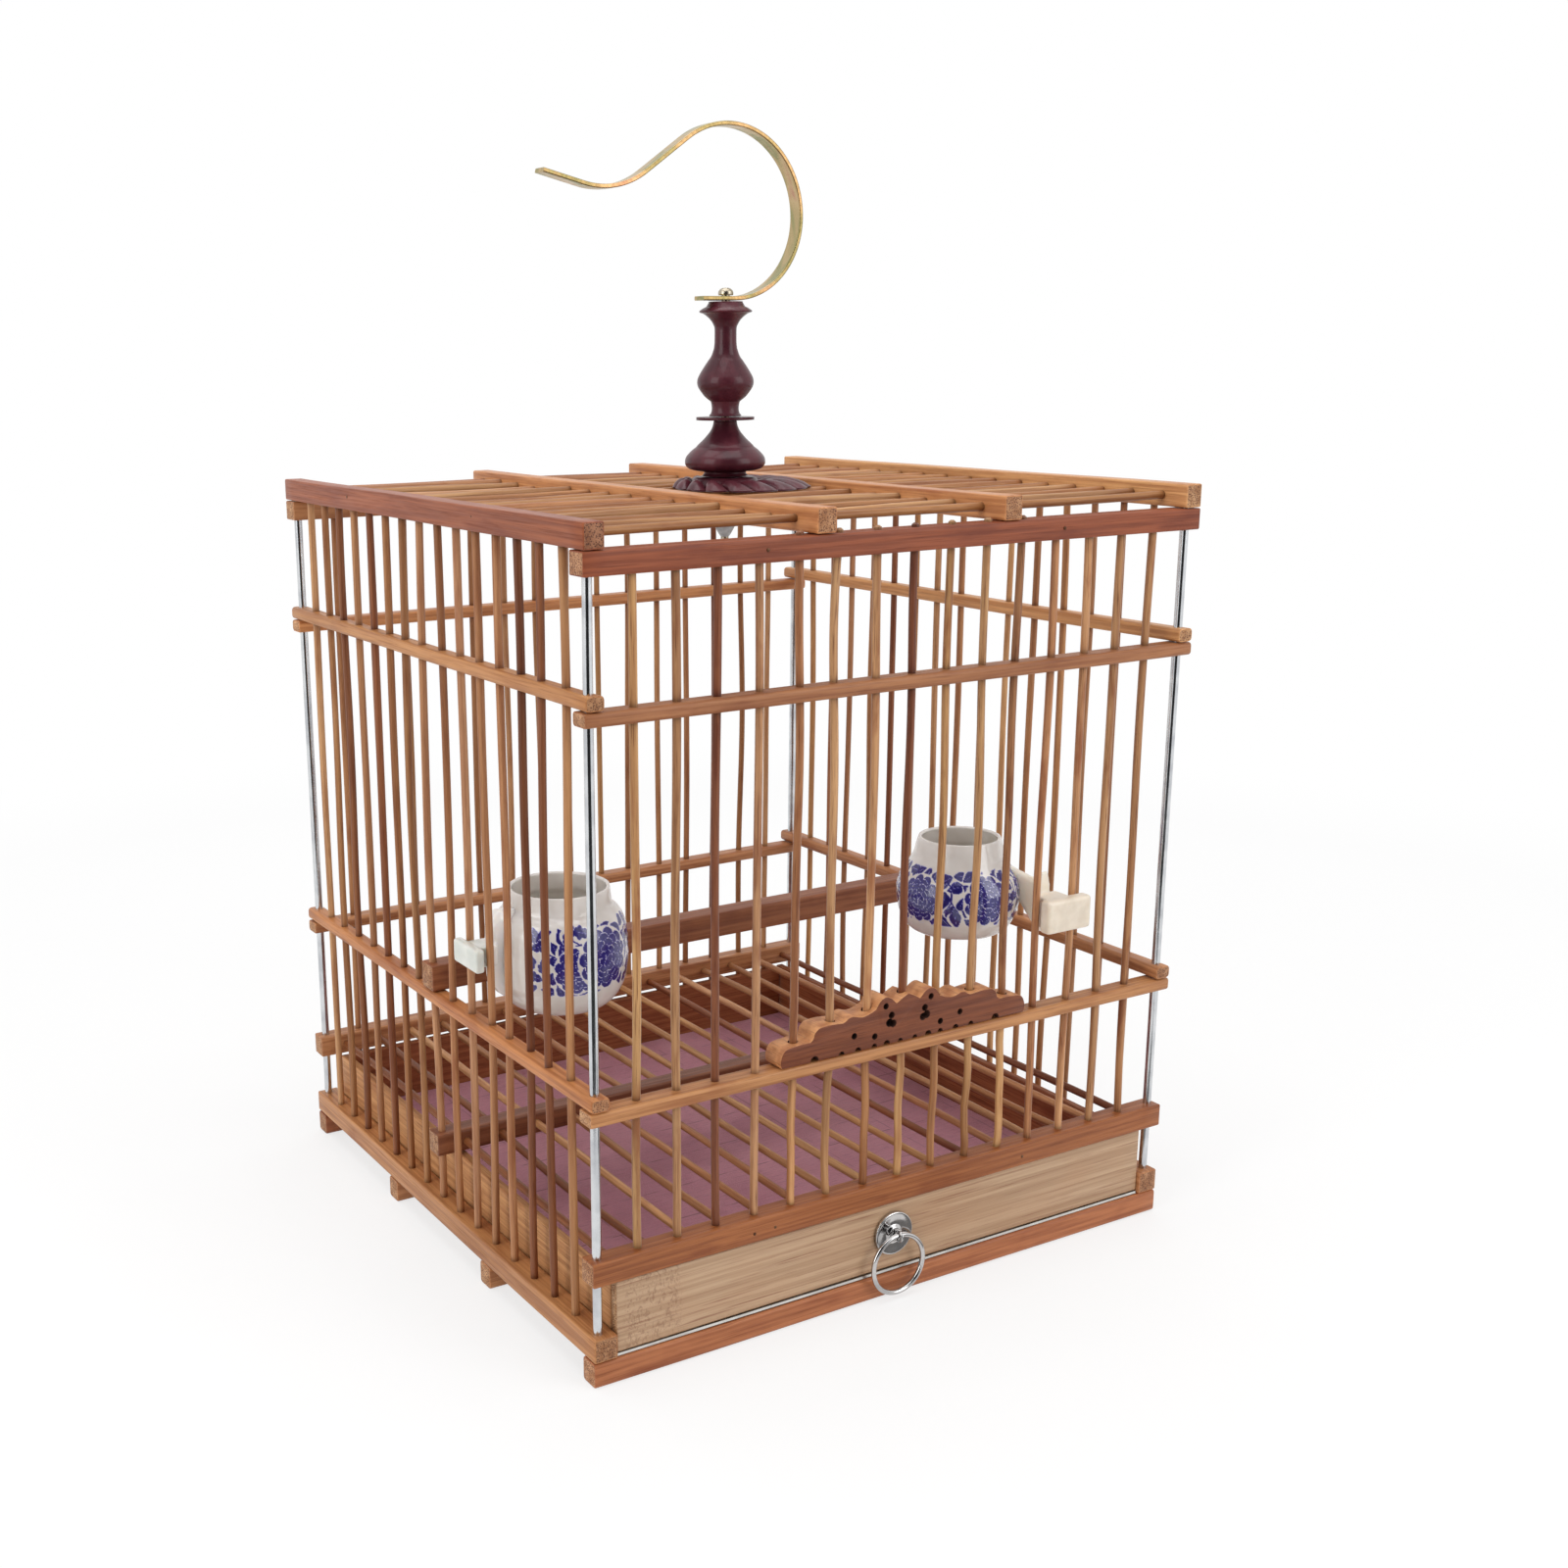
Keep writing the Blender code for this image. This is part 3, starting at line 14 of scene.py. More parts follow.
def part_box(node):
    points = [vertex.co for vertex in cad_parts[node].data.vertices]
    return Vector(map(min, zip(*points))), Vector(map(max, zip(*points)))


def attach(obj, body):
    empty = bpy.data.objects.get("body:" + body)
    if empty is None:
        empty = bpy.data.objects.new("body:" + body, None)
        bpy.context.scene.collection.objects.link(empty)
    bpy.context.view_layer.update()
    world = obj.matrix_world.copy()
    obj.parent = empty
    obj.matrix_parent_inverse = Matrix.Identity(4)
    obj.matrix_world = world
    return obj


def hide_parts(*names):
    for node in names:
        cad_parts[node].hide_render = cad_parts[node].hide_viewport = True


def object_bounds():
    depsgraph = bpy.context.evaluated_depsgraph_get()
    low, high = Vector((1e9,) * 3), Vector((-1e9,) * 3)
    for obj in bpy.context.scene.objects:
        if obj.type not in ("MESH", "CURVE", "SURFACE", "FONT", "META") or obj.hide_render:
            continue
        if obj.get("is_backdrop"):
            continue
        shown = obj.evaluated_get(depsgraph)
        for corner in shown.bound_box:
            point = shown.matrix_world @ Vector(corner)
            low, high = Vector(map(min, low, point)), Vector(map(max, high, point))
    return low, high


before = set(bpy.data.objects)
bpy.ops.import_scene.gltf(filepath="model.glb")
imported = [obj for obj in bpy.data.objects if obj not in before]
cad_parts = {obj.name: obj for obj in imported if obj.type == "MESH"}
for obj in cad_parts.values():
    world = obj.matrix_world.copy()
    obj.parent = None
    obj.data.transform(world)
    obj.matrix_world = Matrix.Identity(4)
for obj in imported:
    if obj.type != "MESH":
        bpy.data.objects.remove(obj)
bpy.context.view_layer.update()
DRAWS = np.random.default_rng(2415)


# ---------------------------------------------------------------- places taken from the model
def span(node):
    """The lowest and highest corner of a CAD node, as arrays."""
    low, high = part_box(node)
    return np.array(low, float), np.array(high, float)


def heights_of(node):
    """The heights of a CAD node's bottom and top."""
    low, high = span(node)
    return low[2], high[2]


RUNNER_LOW, RUNNER_HIGH = span("runner_front")
BACK_HIGH = span("runner_back")[1]
MIDDLE_X = (RUNNER_LOW[0] + RUNNER_HIGH[0]) / 2
MIDDLE_Y = (RUNNER_LOW[1] + BACK_HIGH[1]) / 2
HALF_WIDTH = (RUNNER_HIGH[0] - RUNNER_LOW[0]) / 2
HALF_DEPTH = (BACK_HIGH[1] - RUNNER_LOW[1]) / 2
LEFT_FACE = MIDDLE_X - HALF_WIDTH
RIGHT_FACE = MIDDLE_X + HALF_WIDTH
FRONT_FACE = MIDDLE_Y - HALF_DEPTH
BACK_FACE = MIDDLE_Y + HALF_DEPTH
# The rods' middles stand this far inside the side faces, and inside the front and back
SIDE_ROD_INSET = 0.0029
FRONT_ROD_INSET = 0.0034
WALL_X = HALF_WIDTH - SIDE_ROD_INSET
WALL_Y = HALF_DEPTH - FRONT_ROD_INSET
LEFT_X = MIDDLE_X - WALL_X
FRONT_Y = MIDDLE_Y - WALL_Y
PITCH_X = 2 * WALL_X / 16
PITCH_Y = 2 * WALL_Y / 16
ROD_RADIUS = 0.00125
CORNER_ROD_RADIUS = 0.00135
# Wall rods reach this far into the rail below them and into the rail above
SEAT_BELOW = 0.002
SEAT_ABOVE = 0.001


def places(pitch, count):
    """Evenly spaced places about 0."""
    return [pitch * (index - (count - 1) / 2) for index in range(count)]


# ---------------------------------------------------------------- colours
def srgb(red, green, blue):
    """A linear colour from its 0-255 screen values."""
    shares = (value / 255 for value in (red, green, blue))
    return tuple(s / 12.92 if s <= 0.04045 else ((s + 0.055) / 1.055) ** 2.4 for s in shares)


LIGHT_ROD = srgb(200, 161, 121)
MIDDLE_ROD = srgb(182, 138, 99)
DARK_ROD = srgb(142, 92, 60)
RED_RAIL = srgb(164, 102, 68)
TAN_RAIL = srgb(220, 172, 122)
ORANGE_RAIL = srgb(210, 154, 106)
BROWN_RAIL = srgb(190, 140, 100)
DARK_RAIL = srgb(132, 84, 58)
METAL_TINT = srgb(210, 210, 210)
WHITE = (1.0, 1.0, 1.0, 1.0)


# ---------------------------------------------------------------- materials
class Nodes:
    """A node tree whose nodes are added one call at a time."""

    def __init__(self, tree):
        self.tree = tree

    def feed(self, socket, value):
        if isinstance(value, bpy.types.NodeSocket):
            self.tree.links.new(value, socket)
        else:
            socket.default_value = value

    def node(self, kind, output=0, inputs=None, **settings):
        made = self.tree.nodes.new("ShaderNode" + kind)
        for key, value in settings.items():
            setattr(made, key, value)
        for key, value in (inputs or {}).items():
            self.feed(made.inputs[key], value)
        return made.outputs[output]

    def calc(self, operation, first, second=0.0):
        return self.node("Math", 0, {0: first, 1: second}, operation=operation)

    def seen_directly(self):
        """1 for the camera, also in a mirror or through glass, and 0 for light that falls on things."""
        seen = self.node("LightPath", "Is Camera Ray")
        for kind in ("Is Glossy Ray", "Is Transmission Ray"):
            seen = self.calc("MAXIMUM", seen, self.node("LightPath", kind))
        return seen


class Surface(Nodes):
    """A material round a Principled BSDF."""

    def __init__(self, name, **shine):
        self.material = bpy.data.materials.new(name)
        self.material.use_nodes = True
        super().__init__(self.material.node_tree)
        self.shader = self.tree.nodes["Principled BSDF"]
        for key, value in shine.items():
            self.shader.inputs[key.replace("_", " ")].default_value = value

    def grain(self):
        """Metres across, across and along the wood's grain."""
        return self.node("Attribute", "Vector", attribute_name="grain")

    def tint(self):
        return self.node("Attribute", "Color", attribute_name="tint")

    def place(self):
        return self.node("TexCoord", "Object")

    def facing_y(self):
        """1 on faces that look straight to the front or back, 0 on those that look sideways or up."""
        return self.calc("ABSOLUTE", self.node("SeparateXYZ", "Y", {0: self.node("NewGeometry", "Normal")}))

    def part(self, axis):
        """One part of the place: X, Y or Z."""
        return self.node("SeparateXYZ", axis, {0: self.place()})

    def stretched(self, vector, scales):
        return self.node("VectorMath", 0, {0: vector, 1: scales}, operation="MULTIPLY")

    def noise(self, vector, scales, detail=2.0, roughness=0.5, distortion=0.0):
        inputs = {
            "Vector": self.stretched(vector, scales), "Scale": 1.0, "Detail": detail,
            "Roughness": roughness, "Distortion": distortion}
        return self.node("TexNoise", 0, inputs)

    def cells(self, vector, scales, randomness=1.0):
        inputs = {"Vector": self.stretched(vector, scales), "Scale": 1.0, "Randomness": randomness}
        return self.node("TexVoronoi", "Distance", inputs, feature="F1")

    def between(self, value, low, high, to_low=0.0, to_high=1.0):
        inputs = {0: value, 1: low, 2: high, 3: to_low, 4: to_high}
        return self.node("MapRange", 0, inputs, interpolation_type="SMOOTHSTEP")

    def mix(self, share, first, second, blend="MIX"):
        pair = [(*c, 1.0) if isinstance(c, tuple) and len(c) == 3 else c for c in (first, second)]
        return self.node("Mix", 2, {0: share, 6: pair[0], 7: pair[1]}, data_type="RGBA", blend_type=blend)

    def times(self, colour, red, green, blue):
        """A colour through a filter, whose 0-255 values are given."""
        return self.mix(1.0, colour, srgb(red, green, blue), "MULTIPLY")

    def clouded(self, cloud, first, second):
        """Two colours in soft clouds."""
        return self.mix(self.between(cloud, 0.3, 0.7), first, second)

    def laid(self, pattern, low, high, share, under, over):
        """One colour laid over another where a pattern is strong."""
        return self.mix(self.between(pattern, low, high, 0, share), under, over)

    def ramp(self, value, stops):
        made = self.tree.nodes.new("ShaderNodeValToRGB")
        self.feed(made.inputs[0], value)
        line = made.color_ramp
        while len(line.elements) < len(stops):
            line.elements.new(0.5)
        for element, (at, colour) in zip(line.elements, stops):
            element.position = at
            element.color = (*colour, 1.0)
        return made.outputs[0]

    def bump(self, height, distance, strength=1.0):
        inputs = {"Height": height, "Distance": distance, "Strength": strength}
        self.feed(self.shader.inputs["Normal"], self.node("Bump", 0, inputs))

    def colour(self, value):
        self.feed(self.shader.inputs["Base Color"], value)

    def rough(self, value):
        self.feed(self.shader.inputs["Roughness"], value)


def make_wood(name, lines, stains, gloss, coat, sheen=0.0):
    """Varnished wood with its own tint, thin dark grain lines and broad stains."""
    s = Surface(
        name, Roughness=gloss, Specular_IOR_Level=0.28, Coat_Weight=coat, Coat_Roughness=0.2,
        Sheen_Weight=sheen, Sheen_Roughness=0.35)
    grain = s.grain()
    tint = s.tint()
    fine = s.noise(grain, (3200, 3200, 70), 3, 0.62)
    broad = s.noise(grain, (800, 800, 22), 2)
    patches = s.noise(grain, (150, 150, 38), 3, 0.55, 0.3)
    colour = s.clouded(broad, s.times(tint, 212, 188, 170), s.times(tint, 255, 242, 226))
    colour = s.laid(fine, 0.52, 0.72, lines, colour, s.times(tint, 128, 92, 72))
    s.colour(s.laid(patches, 0.5, 0.72, stains, colour, s.times(tint, 176, 126, 102)))
    s.rough(s.between(fine, 0.3, 0.75, gloss - 0.07, gloss + 0.14))
    s.bump(s.calc("ADD", s.calc("MULTIPLY", broad, 1.6), fine), 0.00009, 0.8)
    return s.material


def make_end_grain():
    """Sawn bamboo ends: gold with dark dots that crowd towards the skin, and painted shade on the ends that
    face the front or back.
    """
    s = Surface("end_grain", Roughness=0.62)
    grain = s.grain()
    # Painted shade: ends that face the front or back get a darker gold than ends that face sideways, for how
    # the light falls on them.
    tint = s.mix(0.6, s.tint(), s.mix(s.facing_y(), srgb(206, 162, 120), srgb(158, 114, 80)))
    dots = s.cells(grain, (2100, 2100, 2100))
    cloud = s.noise(grain, (420, 420, 420), 3)
    base = s.clouded(cloud, s.times(tint, 206, 184, 156), tint)
    dark = s.times(tint, 132, 96, 72)
    s.colour(s.mix(s.between(dots, 0.32, 0.46, 1.0, 0.0), base, dark))
    s.bump(dots, 0.00012, 0.7)
    return s.material


def make_sawn():
    """Sawn and sanded edges of the carved block: orange tan, with faint saw lines across."""
    s = Surface("sawn_wood", Roughness=0.5)
    at = s.place()
    cloud = s.noise(at, (260, 260, 260), 3)
    lines = s.noise(at, (2400, 120, 2400), 2)
    colour = s.clouded(cloud, srgb(170, 108, 66), srgb(214, 154, 102))
    s.colour(s.laid(lines, 0.5, 0.75, 0.45, colour, srgb(128, 76, 46)))
    s.bump(lines, 0.00008)
    return s.material


def make_tray_front():
    """Pale sawn bamboo board with long thin lines and one rough node near its left end."""
    s = Surface("tray_front", Roughness=0.5, Coat_Weight=0.12, Coat_Roughness=0.35)
    at = s.place()
    fine = s.noise(at, (30, 1300, 1400), 4, 0.65)
    long = s.noise(at, (9, 700, 900), 3, 0.5)
    cloud = s.noise(at, (34, 90, 90), 3)
    colour = s.mix(s.between(long, 0.32, 0.68), srgb(164, 130, 98), srgb(190, 158, 126))
    colour = s.laid(cloud, 0.35, 0.75, 0.35, colour, srgb(176, 132, 96))
    colour = s.laid(fine, 0.53, 0.70, 0.8, colour, srgb(136, 90, 62))
    left = s.calc("SUBTRACT", s.part("X"), LEFT_FACE)
    patch = s.calc("MULTIPLY", s.between(left, 0.009, 0.012), s.between(left, 0.026, 0.031, 1.0, 0.0))
    curls = s.cells(at, (380, 380, 900), 0.9)
    marks = s.noise(at, (900, 900, 520), 3, 0.6, 1.2)
    knot = s.calc("MULTIPLY", patch, s.between(marks, 0.5, 0.62, 0, 0.5))
    s.colour(s.mix(knot, colour, srgb(126, 84, 56)))
    rough_node = s.calc("MULTIPLY", s.calc("MULTIPLY", patch, curls), 1.5)
    s.bump(s.calc("ADD", s.calc("MULTIPLY", fine, 0.7), rough_node), 0.00016)
    return s.material


def make_liner():
    """Mauve woven mat: fine threads across the cage, with faint lines at a regular pitch."""
    s = Surface("mauve_mat", Roughness=0.82, Sheen_Weight=0.15)
    at = s.place()
    thread = s.noise(at, (190, 3800, 200), 2, 0.6)
    weave = s.noise(at, (2200, 2600, 200), 2)
    slub = s.noise(at, (70, 1700, 90), 3, 0.6)
    cloud = s.noise(at, (26, 26, 26), 3)
    colour = s.clouded(cloud, srgb(176, 114, 130), srgb(196, 136, 150))
    colour = s.laid(thread, 0.5, 0.7, 0.55, colour, srgb(132, 86, 104))
    colour = s.laid(weave, 0.5, 0.72, 0.4, colour, srgb(200, 158, 166))
    colour = s.laid(slub, 0.58, 0.7, 0.5, colour, srgb(140, 92, 106))
    wobble = s.calc("MULTIPLY", s.noise(at, (60, 60, 60), 1), 0.0006)
    for side, pitch, strength in ((s.part("Y"), 0.0208, 0.7), (s.part("X"), 0.0312, 0.45)):
        turn = s.calc("PINGPONG", s.calc("ADD", side, wobble), pitch / 2)
        line = s.between(turn, 0.00012, 0.00042, strength, 0.0)
        broken = s.between(s.noise(at, (110, 110, 110), 1), 0.42, 0.6)
        colour = s.mix(s.calc("MULTIPLY", line, broken), colour, srgb(104, 62, 78))
    s.colour(colour)
    s.bump(s.calc("ADD", thread, weave), 0.00014)
    return s.material


def make_china():
    """White glaze over painted ink, whose strength is kept on the mesh."""
    s = Surface(
        "glazed_china", Roughness=0.16, Coat_Weight=0.5, Coat_Roughness=0.06, Subsurface_Weight=0.6,
        Subsurface_Scale=0.004, Subsurface_Radius=(1.0, 1.0, 0.9))
    ink = s.node("Attribute", "Fac", attribute_name="ink")
    at = s.place()
    brush = s.noise(at, (1500, 1500, 1500), 3, 0.6)
    cloud = s.noise(at, (120, 120, 120), 2)
    white = s.clouded(cloud, srgb(206, 200, 194), srgb(220, 215, 210))
    blue = s.ramp(s.calc("MULTIPLY", ink, s.between(brush, 0.25, 0.7, 0.84, 1.0)), [
        (0.0, srgb(226, 224, 222)), (0.3, srgb(140, 138, 190)), (0.62, srgb(56, 50, 134)),
        (1.0, srgb(30, 24, 98))])
    s.colour(s.mix(s.between(ink, 0.02, 0.14), white, blue))
    s.bump(cloud, 0.00012, 0.25)
    return s.material


def make_moulded(name, low, high, roughness, arm, axis, wall):
    """Cast ear of a cup: slightly cloudy and softly glossy. Its arm inside the wall is paler: partly its own
    whiter colour, partly painted light that lifts the shade on the arm.
    """
    s = Surface(
        name, Roughness=roughness, Coat_Weight=0.25, Coat_Roughness=0.2, Subsurface_Weight=0.4,
        Subsurface_Scale=0.003, Subsurface_Radius=(1.0, 0.8, 0.6))
    cloud = s.noise(s.place(), (190, 190, 190), 3)
    # Painted light, with some of the arm's own paler colour: past the wall the ear takes the arm colour,
    # which lifts the shade that falls on the arm.
    inside = s.between(s.part(axis), wall + 0.001, wall + 0.004)
    s.colour(s.mix(inside, s.clouded(cloud, low, high), arm))
    s.bump(s.noise(s.place(), (1500, 1500, 1500), 2), 0.00005)
    return s.material


def make_lacquer():
    """Maroon lacquer with a slight orange peel."""
    s = Surface(
        "maroon_lacquer", Roughness=0.42, Specular_IOR_Level=0.2, Coat_Weight=0.22, Coat_Roughness=0.08)
    at = s.place()
    cloud = s.noise(at, (200, 200, 120), 3)
    s.colour(s.clouded(cloud, srgb(66, 24, 34), srgb(88, 36, 46)))
    s.rough(s.between(cloud, 0.3, 0.7, 0.36, 0.48))
    s.bump(s.noise(at, (1300, 1300, 1300), 2), 0.00005)
    return s.material


def make_metal(name, base, worn, roughness, scratch=(300, 300, 300)):
    """Metal with fine scratches and slightly darker stains."""
    s = Surface(name, Metallic=1.0, Roughness=roughness)
    at = s.place()
    fine = s.noise(at, scratch, 4, 0.6)
    cloud = s.noise(at, (140, 140, 140), 2)
    s.colour(s.mix(s.between(cloud, 0.35, 0.7), base, worn))
    s.rough(s.between(fine, 0.3, 0.7, roughness * 0.7, roughness * 1.4))
    s.bump(fine, 0.000008)
    return s.material


def make_zinc():
    """Yellow zinc plating: gold that drifts to green and to pink along the strip."""
    s = Surface("yellow_zinc", Metallic=1.0, Roughness=0.3)
    at = s.place()
    drift = s.noise(at, (62, 200, 62), 2, 0.5, 0.6)
    fine = s.noise(at, (900, 120, 900), 3)
    plated = s.ramp(drift, [
        (0.26, srgb(186, 142, 118)), (0.38, srgb(194, 170, 130)), (0.50, srgb(180, 160, 118)),
        (0.60, srgb(146, 146, 102)), (0.74, srgb(188, 160, 124))])
    s.colour(s.mix(s.facing_y(), plated, s.times(plated, 222, 202, 186)))
    s.rough(s.between(fine, 0.3, 0.7, 0.24, 0.38))
    s.bump(fine, 0.00002)
    return s.material


def make_plain(name, roughness, low, high):
    """A dull material in two shades."""
    s = Surface(name, Roughness=roughness)
    cloud = s.noise(s.place(), (300, 300, 300), 3)
    s.colour(s.clouded(cloud, low, high))
    s.bump(cloud, 0.00004)
    return s.material


# Painted shade: near-black wood for the inner walls of the block's bored holes and notches, for the shade
# inside them.
BORE_SHADE = make_plain("painted_bore_shade", 0.8, srgb(52, 26, 18), srgb(80, 44, 30))
ROD = make_wood("rod_wood", 0.9, 0.8, 0.45, 0.1, 0.35)
RAIL = make_wood("rail_wood", 0.42, 0.45, 0.45, 0.1)
BOARD = make_wood("board_wood", 0.7, 0.4, 0.55, 0.0)
CARVED = make_wood("carved_wood_look", 0.8, 0.5, 0.45, 0.1)
END = make_end_grain()
SAWN = make_sawn()
TRAY_FRONT = make_tray_front()
LINER = make_liner()
CHINA = make_china()
# The last colour of each ear is its arm's: paler than the ear, partly as painted light that lifts the shade
# on the arm.
FOOD_EAR = make_moulded(
    "pale_ear", srgb(200, 203, 196), srgb(216, 217, 210), 0.22, srgb(236, 233, 230), "X", LEFT_X)
WATER_EAR = make_moulded(
    "cream_ear", srgb(214, 200, 181), srgb(228, 216, 199), 0.3, srgb(250, 239, 222), "Y", FRONT_Y)
LACQUER = make_lacquer()
BRASSED = make_metal("bolt_metal", srgb(176, 166, 148), srgb(140, 128, 108), 0.3)
STEEL = make_metal("bright_steel", srgb(214, 216, 218), srgb(190, 192, 196), 0.16, (700, 700, 60))
CHROME = make_metal("chromed_metal", srgb(200, 198, 197), srgb(168, 167, 167), 0.1)
NAIL = make_metal("nail_head", srgb(120, 88, 66), srgb(84, 56, 42), 0.45)
TIN = make_metal("tray_plate", srgb(216, 216, 212), srgb(196, 196, 192), 0.34)
ZINC = make_zinc()
PLASTIC = make_plain("grey_plastic_look", 0.38, srgb(150, 152, 154), srgb(186, 188, 188))


# ---------------------------------------------------------------- meshes
def smooth_noise(count, amount, waves, fade=True):
    """A slow wander along a run. It is nothing at both ends where it fades."""
    at = np.linspace(0, 1, count) if np.isscalar(count) else np.asarray(count)
    total = np.zeros(len(at))
    for wave in range(1, waves + 1):
        height = DRAWS.normal() / wave
        phase = 0 if fade else DRAWS.uniform(0, 6.28)
        total += height * np.sin(math.pi * wave * at + phase)
    return total * amount


def placed(name, data):
    """A new object in the scene."""
    thing = bpy.data.objects.new(name, data)
    bpy.context.scene.collection.objects.link(thing)
    return thing


def to_mesh(shape, name):
    """A bmesh as a mesh. The bmesh is freed."""
    mesh = bpy.data.meshes.new(name)
    shape.to_mesh(mesh)
    shape.free()
    return mesh


def mesh_of(name, points, faces):
    mesh = bpy.data.meshes.new(name)
    mesh.from_pydata(np.asarray(points).tolist(), [], faces)
    return mesh


def add_layer(mesh, name, kind, field, values):
    """Keep values on a mesh's points."""
    mesh.attributes.new(name, kind, "POINT").data.foreach_set(field, np.ravel(values))


def add_wood_layers(mesh, tint, grain):
    """Keep a tint and places along the wood's grain on a mesh's points."""
    colours = np.ones((len(mesh.vertices), 4))
    colours[:, :3] = tint
    add_layer(mesh, "tint", "FLOAT_COLOR", "color", colours)
    add_layer(mesh, "grain", "FLOAT_VECTOR", "vector", grain)


def grid_faces(rows, size, closed=False):
    """Faces between rows of points. Each row is a loop, and so are the rows where the grid is closed."""
    faces = []
    for row in range(rows if closed else rows - 1):
        after = (row + 1) % rows
        for index in range(size):
            beside = (index + 1) % size
            faces.append((
                row * size + index, row * size + beside, after * size + beside, after * size + index))
    return faces


def tube_faces(rows, size):
    """Faces round rows of points, with both ends closed."""
    ends = [tuple(reversed(range(size))), tuple(range((rows - 1) * size, rows * size))]
    return grid_faces(rows, size) + ends


def circle(radius, sides):
    """A round section as an array of points."""
    angles = np.arange(sides) / sides * 2 * math.pi
    return np.stack([np.cos(angles), np.sin(angles)], axis=1) * radius


class Build:
    """Shapes put together into one piece, with a tint and grain places at each point."""

    def __init__(self):
        self.points = []
        self.faces = []
        self.slots = []
        self.tints = []
        self.grains = []
        self.count = 0

    def add(self, points, faces, tint, grain, slots=None):
        points = np.asarray(points, float)
        self.points.append(points)
        self.faces += [tuple(corner + self.count for corner in face) for face in faces]
        self.slots += slots if slots is not None else [0] * len(faces)
        tint = np.asarray(tint, float)
        self.tints.append(np.broadcast_to(tint, (len(points), 3)))
        self.grains.append(np.asarray(grain, float))
        self.count += len(points)

    def sweep(self, centres, sections, u, v, tint, along, ends=1):
        """Rings of section points (rings, points, 2) laid out along u and v at each centre."""
        rings, size = sections.shape[:2]
        points = (
            centres[:, None, :] + sections[:, :, 0:1] * np.asarray(u) + sections[:, :, 1:2] * np.asarray(v))
        faces = tube_faces(rings, size)
        slots = [0] * (len(faces) - 2) + [ends, ends]
        shift = DRAWS.uniform(-0.5, 0.5, 3)
        grain = np.zeros((rings, size, 3))
        grain[:, :, :2] = sections
        grain[:, :, 2] = np.asarray(along)[:, None]
        tint = np.asarray(tint, float)
        if tint.ndim == 2:
            tint = np.repeat(tint, size, axis=0)
        self.add(points.reshape(-1, 3), faces, tint, grain.reshape(-1, 3) + shift, slots)

    def piece(self, node, surfaces, body, sharp=38, name=None):
        """End the build as the piece for a node, whose name it takes where none is given."""
        name = name or node + "_look"
        mesh = mesh_of(name, np.concatenate(self.points), self.faces)
        mesh.polygons.foreach_set("material_index", self.slots)
        add_wood_layers(mesh, np.concatenate(self.tints), np.concatenate(self.grains))
        return settle(name, mesh, surfaces, body, [node], sharp)


def settle(name, mesh, surfaces, body, nodes, sharp=38):
    """A finished piece that rides on its body and stands for its CAD nodes."""
    shape = bmesh.new()
    shape.from_mesh(mesh)
    bmesh.ops.recalc_face_normals(shape, faces=shape.faces)
    shape.to_mesh(mesh)
    shape.free()
    for surface in surfaces:
        mesh.materials.append(surface)
    mesh.shade_smooth()
    if sharp:
        mesh.set_sharp_from_angle(angle=math.radians(sharp))
    thing = placed(name, mesh)
    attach(thing, body)
    if nodes:
        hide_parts(*nodes)
    return thing


CORNER_STEPS = 3


def rounded_section(half_u, half_v, radius, inset=0.0):
    """Points of a rounded rectangle, drawn inwards by the inset. Extra points keep its faces flat."""
    half_u -= inset
    half_v -= inset
    radius = max(radius - inset, 0.00008)
    lead = 0.25 * min(half_u - radius, half_v - radius)
    points = []
    for turn, (side_u, side_v) in enumerate(((1, 1), (-1, 1), (-1, -1), (1, -1))):
        corner = np.array((side_u * (half_u - radius), side_v * (half_v - radius)))
        arc = []
        for step in range(CORNER_STEPS + 1):
            angle = math.pi / 2 * (turn + step / CORNER_STEPS)
            arc.append(corner + radius * np.array((math.cos(angle), math.sin(angle))))
        before, after = (math.pi / 2 * (turn + t) for t in (-1, 2))
        arc.insert(0, arc[0] + lead * np.array((math.cos(before), math.sin(before))))
        arc.append(arc[-1] + lead * np.array((math.cos(after), math.sin(after))))
        points += arc
    return np.array(points)


# The directions of a section's two sides, for a bar along each axis
AXES = {0: ((0, 1, 0), (0, 0, 1)), 1: ((0, 0, 1), (1, 0, 0)), 2: ((1, 0, 0), (0, 1, 0))}


END_ROUND = 0.0004


